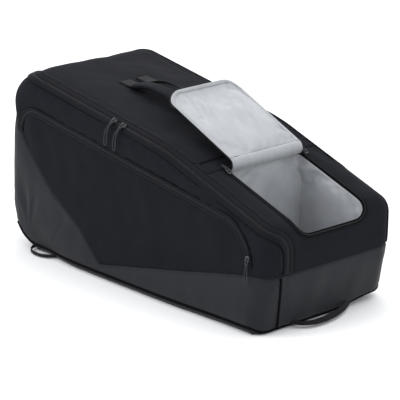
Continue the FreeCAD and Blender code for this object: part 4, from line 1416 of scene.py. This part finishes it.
def build_handle_wrap():
    """The padded wrap round the middle of the front carry handle."""
    body = "front_carry_handle"
    line = carry_line(-CARRY_Y)
    low, high = carry_fold(line)
    line = carry_line(-CARRY_Y, -102, 98)
    turns = np.linspace(0, 2 * math.pi, 25)[:-1]
    along = unit(np.gradient(line, axis=0))
    up = unit(np.cross([0.0, 1.0, 0.0], along))
    up *= np.sign(up @ HEAD_NORMAL)[:, None]
    rings = []
    for i, (centre, off) in enumerate(zip(line, up)):
        end = min(i, len(line) - 1 - i) / 3.0
        size = 1.0 if end >= 1 else 0.90 + 0.10 * math.sin(end * math.pi / 2)
        thick = 0.0052 * (1.0 if end >= 1 else 0.62 + 0.38 * math.sin(end * math.pi / 2))
        ring = []
        for t in turns:
            a = 0.0185 * size * blunt(math.cos(t), 0.55)
            ring.append(centre + np.array([0, a, 0]) + off * thick * blunt(math.sin(t), 0.75))
        rings.append(ring)
    wrap = loft("front_handle_wrap", np.array(rings), CANVAS)
    held = np.zeros(len(line) * len(turns), bool)
    held[:2 * len(turns)] = held[-2 * len(turns):] = True
    simulate(wrap, held, 1.5, 0.0010, grow=0.02)
    bends(wrap, body, "canvas", low, high, "carry_handle_wrap")
    seam = sewn("front_handle_wrap_stitch", line, (0, 1, 0), 0.0135, 0.0050)
    bends(seam, body, "canvas", low, high)
    for number, i in enumerate((1, len(line) - 2)):
        row = np.linspace(line[i] + [0, -0.0165, 0], line[i] + [0, 0.0165, 0], 9) + up[i] * 0.0046
        seam = sewn(f"front_handle_wrap_end_{number}", row, along[i], 0, 0)
        bends(seam, body, "canvas", low, high)


def build_handle_patches():
    """A sewn patch under each end of the carry handles."""
    patch_nodes = ["carry_handle_patches"]
    for side, sign in SIDES.items():
        for end, (first, last) in (("head", (-136, -106)), ("handle", (106, 136))):
            start = carry_middle(sign * CARRY_Y)
            row = seated([start + HEAD_WAY * s / 1000 for s in np.linspace(first, last, 10)], 0.0006)
            # The patches take the darkened tape colour instead of their own canvas: painted shade that takes
            # the light off their up-facing tops.
            pad = strap(f"{side}_{end}_handle_patch", row, (0, 1, 0), 0.035, 0.0016, TAPE_WITH_PAINTED_SHADE, 0.0007)
            rides(pad, "root", "canvas", *patch_nodes)
            patch_nodes = []


def build_loops():
    """The grab handle under the handle end, and a small loop under each long side."""
    line = curve([(0.352, -0.091, 0.0105), (0.372, -0.088, 0.0105), (0.389, -0.078, 0.0105),
                  (0.4015, -0.056, 0.0105), (0.4045, -0.025, 0.0115), (0.400, 0.012, 0.0125),
                  (0.389, 0.046, 0.0140), (0.375, 0.072, 0.0145), (0.358, 0.092, 0.0140)], 0.004, 10)
    lean = np.radians(np.interp(line[:, 1], [-0.09, -0.05, 0.01, 0.06, 0.09], [8, 28, 42, 58, 66]))
    outward = unit(np.cross(np.gradient(line, axis=0), [0, 0, 1.0]))
    outward *= np.sign(outward[:, 0])[:, None]
    wide = outward * np.cos(lean)[:, None] - np.array([0, 0, 1.0]) * np.sin(lean)[:, None]
    web = strap("end_grab_handle_web", line, wide, 0.0125, 0.0028, WEBBING)
    rides(web, "end_grab_handle", "webbing", "end_grab_handle")
    for number, edge in enumerate((-0.0043, 0.0043)):
        seam = sewn(f"end_grab_handle_stitch_{number}", line, wide, edge, 0.0014)
        rides(seam, "end_grab_handle", "webbing")
    for side, sign in SIDES.items():
        body = side + "_edge_loop"
        line = curve([(-0.325, 0.166, 0.0068), (-0.322, 0.180, 0.0066), (-0.311, 0.193, 0.0064),
                      (-0.294, 0.2005, 0.0060), (-0.270, 0.2005, 0.0060), (-0.253, 0.193, 0.0064),
                      (-0.242, 0.180, 0.0066), (-0.239, 0.166, 0.0068)], 0.003, 8)
        line[:, 1] *= sign
        web = strap(body + "_web", line, (0, 0, 1), 0.0075, 0.0024, WEBBING)
        rides(web, body, "webbing", body)


build_carry_handles()
build_handle_patches()
build_handle_wrap()
build_loops()

# ---------------------------------------------------------------- sliders and pulls


def slider(body, pin, normal, along, wide_end=1.0, bail_along=False):
    """A cast zip slider under its pull's pin: a shield-shaped plate, a lower lip and an arched bail."""
    pin, normal, along = (np.array(v, float) for v in (pin, normal, along))
    normal, along = normal / np.linalg.norm(normal), along / np.linalg.norm(along)
    across = np.cross(normal, along)
    pin_high, half, lift = 0.0076, 0.0075, 0.0024
    foot = pin - normal * pin_high
    outline = []
    for t in np.linspace(0, 2 * math.pi, 29)[:-1]:
        a = half * blunt(math.cos(t), 0.6)
        b = (0.0047 + 0.0010 * a / half * wide_end) * blunt(math.sin(t), 0.6)
        waist = 1 - 0.10 * bell(a - 0.001, 0.0035)
        outline.append((a, b * waist))
    rings = []
    for height, size in ((lift, 0.94), (lift + 0.0006, 1.0), (lift + 0.0026, 1.0), (lift + 0.0033, 0.93),
                         (lift + 0.0036, 0.80)):
        rings.append([foot + along * a * size + across * b * size + normal * height for a, b in outline])
    rides(loft(body + "_plate", np.array(rings)[:, ::-1], METAL), body, "metal", body)
    neck = []
    for a in np.linspace(-0.0030, 0.0030, 4):
        neck.append([foot + along * a + across * 0.0021 * math.cos(t)
                     + normal * (lift * 0.5 + lift * 0.62 * math.sin(t))
                     for t in np.linspace(0, 2 * math.pi, 11)[:-1]])
    rides(loft(body + "_neck", np.array(neck), METAL), body, "metal")
    way = along if bail_along else across
    top = foot + normal * (lift + 0.0036)
    turns = np.radians(np.linspace(-12, 192, 15))
    arch = np.array([top + way * 0.0036 * math.cos(t) + normal * 0.0036 * math.sin(t) for t in turns])
    bail = tube(body + "_bail", arch, np.cross(way, normal), 0.0013, 0.0008, METAL)
    rides(bail, body, "metal")
    for number, sign in enumerate((-1, 1)):
        rail = np.array([foot + along * a + across * sign * (0.0040 + 0.0006 * a / half * wide_end) +
                         normal * (lift + 0.0034) for a in np.linspace(-0.0062, 0.0062, 8)])
        rides(tube(f"{body}_rail_{number}", rail, across, 0.0006, 0.0006, METAL, 6), body, "metal")


def pull(body, pin, pin_way, drop, tail, spread=0.0052):
    """A pull on its pin: a wire link, and a narrow doubled tape that follows a line of directions."""
    pin, pin_way = np.array(pin, float), unit(np.array(pin_way, float))
    drop = [unit(np.array(d, float)) for d in drop]
    way = drop[0]
    half, reach = 0.0038, 0.0096
    corners = ((-half, 0.0), (-half, reach), (half, reach), (half, 0.0))
    ring = np.array([pin + pin_way * a + way * d for a, d in corners])
    ring = smoothed(even(ring, 0.0007, True), 6, True)
    up = np.cross(pin_way, way)
    link = tube(body + "_link", ring, up, 0.0008, 0.0008, METAL, 8, True)
    rides(link, body, "metal", body)
    start = pin + way * (reach - 0.0008)
    middle = [start]
    bend = 0.012
    steps = max(8, int(tail / 0.002))
    for i in range(steps):
        done = (i + 0.5) / steps * tail
        share = np.clip((done - 0.006) / (2 * bend), 0, 1) if len(drop) > 1 else 0
        direction = unit(drop[0] * (1 - share) + drop[-1] * share)
        middle.append(middle[-1] + direction * tail / steps)
    middle = np.array(middle)
    share = np.linspace(0, 1, len(middle))
    apart = (0.0011 + spread / 2 * np.sin(np.clip(share, 0, 1) * math.pi * 0.62))[:, None] * pin_way
    left, right = middle - apart, middle + apart
    end = middle[-1] + unit(middle[-1] - middle[-2]) * spread * 0.5
    loop_line = np.vstack([left, [end], right[::-1]])
    loop_line = even(smoothed(even(loop_line, 0.0012), 5), 0.0015)
    along = unit(np.gradient(loop_line, axis=0))
    wide = np.cross(np.broadcast_to(up, loop_line.shape), along)
    tape = tube(body + "_tape", loop_line, wide, 0.00135, 0.00085, CORD, 8)
    rides(tape, body, "metal")
    knot = np.array([start + way * d for d in np.linspace(-0.0020, 0.0050, 6)])
    rides(tube(body + "_collar", knot, pin_way, 0.0030, 0.0017, CORD, 12), body, "metal")


def build_sliders():
    """A slider and its pull at each of the frame's pull joints."""
    band, out = math.radians(37.5), math.radians(53)
    tilt = np.array(Matrix.Rotation(HEAD_SLOPE, 3, "Y"))
    handle_way = np.array([math.cos(HANDLE_SLOPE), 0, -math.sin(HANDLE_SLOPE)])
    for side, sign in SIDES.items():
        for end, wide_end in (("head", -1.0), ("handle", 1.0)):
            name = f"{side}_zip_pull_{end}"
            pin = JOINTS[name + "_swing"]["pos_m"]
            normal = tilt @ np.array([0, sign * math.sin(band), math.cos(band)])
            slider(f"{side}_zip_slider_{end}", pin, normal, HEAD_WAY, wide_end)
            drop = [(0, sign * math.sin(out), -math.cos(out)), (0, sign * 0.07, -1)]
            pull(name, pin, (1, 0, 0), drop, 0.050)
        pin = JOINTS[f"{side}_pocket_pull_swing"]["pos_m"]
        slider(f"{side}_pocket_slider", pin, (0, sign, 0), (0, 0, 1), bail_along=True)
        pull(f"{side}_pocket_pull", pin, (1, 0, 0), [(0, sign * 0.02, -1)], 0.041)
        pin = JOINTS[f"{side}_shoe_pull_swing"]["pos_m"]
        slider(f"{side}_shoe_slider", pin, HANDLE_NORMAL, handle_way, bail_along=True)
        pull(f"{side}_shoe_pull", pin, (0, 1, 0), [-handle_way], 0.012, 0.0030)


build_sliders()

# ---------------------------------------------------------------- under the base, and inside


def build_straps():
    """The two shoulder straps stowed flat under the base: soft pads, webbing tails and buckles."""
    for side, sign in SIDES.items():
        y, middle, tail_high = sign * 0.078, 0.0052, 0.0088
        half_long, half_wide, thick = 0.215, 0.033, 0.0046
        xs = -half_long * np.cos(np.linspace(0, math.pi, 11))
        cells = np.unique(np.round(np.hstack([xs[:4], np.linspace(xs[3], xs[-4], 66), xs[-4:]]), 5))
        rings = []
        for x in cells:
            near = min(max((half_long - abs(x)) / half_wide, 0.02), 1.0)
            w = half_wide * math.sqrt(1 - (1 - near) ** 2)
            t = thick * (0.45 + 0.55 * math.sqrt(min(near * 1.6, 1.0)))
            ring = []
            for angle in np.linspace(0, 2 * math.pi, 33)[:-1]:
                ring.append((x, y + w * blunt(math.cos(angle), 0.45), middle + t * blunt(math.sin(angle), 0.8)))
            rings.append(ring)
        pad = loft(side + "_strap_pad", np.array(rings), MESH)
        co = np.array([v.co for v in pad.data.vertices])
        rim = np.abs(co[:, 2] - middle) < 0.0012
        simulate(pad, rim, 1.2, 0.0012, grow=0.015)
        co = np.array([v.co for v in pad.data.vertices])
        co[:, 2] = np.clip(co[:, 2], 0.0003, 0.0103)
        pad.data.vertices.foreach_set("co", co.ravel())
        rides(pad, "root", "foam", side + "_shoulder_strap")
        edge, straight = [], half_long - half_wide
        for t in np.linspace(0, 2 * math.pi, 361)[:-1]:
            c, s = math.cos(t), math.sin(t)
            x = np.sign(c) * straight * min(1, abs(c) * 3.0) + half_wide * c
            edge.append((x, y + half_wide * s, middle))
        edge = even(np.array(edge), 0.004, True)
        rides(tube(side + "_strap_binding", edge, (0, 0, 1), 0.0022, 0.0016, BINDING_WITH_CREASE_SHADE, 8, True), "root", "foam")
        tail = curve([(x, y, tail_high) for x in (-0.200, -0.216, -0.240, -0.262, -0.295)], 0.004, 2)
        web = strap(side + "_strap_tail", tail, (0, 1, 0), 0.025, 0.0022, WEBBING)
        rides(web, "root", "webbing", side + "_strap_webbing")


def build_divider():
    """The padded wall down the middle, between the two racket compartments."""
    head_end, handle_end, gap = -0.388, 0.187, 0.0065
    probe = np.linspace(0.02, 0.42, 400)
    rings = []
    for x in np.linspace(head_end, handle_end, 97):
        inside = profile_distance(np.full(400, x), probe) < -gap
        low, high = max(probe[inside].min(), 0.0205), probe[inside].max()
        rings.append([(x, 0.0, z) for z in np.linspace(low, high, 49)])
    rings = np.array(rings)
    place = rings.reshape(-1, 3)
    edge = np.minimum(-profile_distance(place[:, 0], place[:, 2]) - gap, 0.03)
    ends = np.minimum(place[:, 0] - head_end, handle_end - place[:, 0])
    edge = np.minimum(edge, ends).reshape(rings.shape[:2])
    quilt = 0.0008 * np.abs(np.sin(math.pi * rings[..., 2] / 0.060))
    quilt = quilt + 0.0006 * np.abs(np.sin(math.pi * rings[..., 0] / 0.080))
    half = 0.0019 + 0.0015 * (1 - bell(np.maximum(edge, 0), 0.012)) + quilt * 0.4
    near, far = rings.copy(), rings.copy()
    near[..., 1], far[..., 1] = -half, half
    loop = np.concatenate([near, far[:, ::-1]], 1)
    wall = loft("centre_divider_pad", loop, DARK_LINING)
    rides(wall, "root", "lining", "centre_divider")


def finish_cad():
    """Better materials for the CAD nodes that still show: the buckles and the stiff base board."""
    for name, material in (
        ("front_strap_buckle", PLASTIC), ("rear_strap_buckle", PLASTIC), ("base_board", BOARD)
    ):
        materials = frame["nodes"][name].data.materials
        materials.clear()
        materials.append(material)


build_straps()
build_divider()
finish_cad()

# ---------------------------------------------------------------- floor, light and camera


def build_stage():
    """A pale floor and soft studio light."""
    n = Nodes("studio_floor")
    solid = n.solid()
    tone = n.ramp(n.noise(solid, 3.0, 3.0), (0.86, 0.86, 0.865), (0.89, 0.89, 0.895))
    material = n.finish(Base_Color=tone, Roughness=0.9)
    size, rows = 30.0, 9
    steps = np.linspace(-size, size, rows)
    points = [(x, y, 0.0) for x in steps for y in steps]
    cells = [(i * rows + j, (i + 1) * rows + j, (i + 1) * rows + j + 1, i * rows + j + 1)
             for i in range(rows - 1) for j in range(rows - 1)]
    floor = piece("studio_floor", points, cells, [p[:2] for p in points], material)
    world = bpy.data.worlds.new("studio")
    scene.world = world
    world.use_nodes = True
    background = next(node for node in world.node_tree.nodes if node.type == "BACKGROUND")
    background.inputs["Color"].default_value = (0.97, 0.985, 1.0, 1.0)
    background.inputs["Strength"].default_value = 1.0
    lamps = [
        ("key", (-1.2, -2.6, 2.6), 2.4, 62.0),
        ("fill", (2.8, -1.2, 1.8), 2.4, 19.0),
        ("top", (0.4, 0.8, 3.2), 2.6, 42.0),
        ("back", (-2.4, 2.2, 2.2), 2.4, 32.0),
    ]
    for name, place, size, power in lamps:
        data = bpy.data.lights.new(name, "AREA")
        data.shape = "DISK"
        data.size = size
        data.energy = power
        lamp = bpy.data.objects.new(name, data)
        lamp.location = place
        lamp.rotation_mode = "QUATERNION"
        lamp.rotation_quaternion = (Vector((0, 0, 0.2)) - Vector(place)).to_track_quat("-Z", "Y")
        scene.collection.objects.link(lamp)


def build_camera():
    """The camera, at the bag's three-quarter view from the front and the handle end."""
    azimuth, elevation, roll = (math.radians(a) for a in (46.3304, 17.9493, 1.0578))
    right = Vector((math.cos(azimuth), math.sin(azimuth), 0))
    back = Vector((math.sin(azimuth) * math.cos(elevation), -math.cos(azimuth) * math.cos(elevation),
                   math.sin(elevation)))
    up = back.cross(right)
    across = right * math.cos(roll) + up * math.sin(roll)
    rise = up * math.cos(roll) - right * math.sin(roll)
    data = bpy.data.cameras.new("camera")
    data.sensor_width = 36.0
    data.lens = 214.706
    camera = bpy.data.objects.new("camera", data)
    turn = Matrix((across, rise, back)).transposed()
    camera.matrix_world = Matrix.Translation((3.44874, -3.28076, 1.69716)) @ turn.to_4x4()
    scene.collection.objects.link(camera)
    scene.camera = camera


scene.view_settings.view_transform = "Standard"
build_stage()
build_camera()
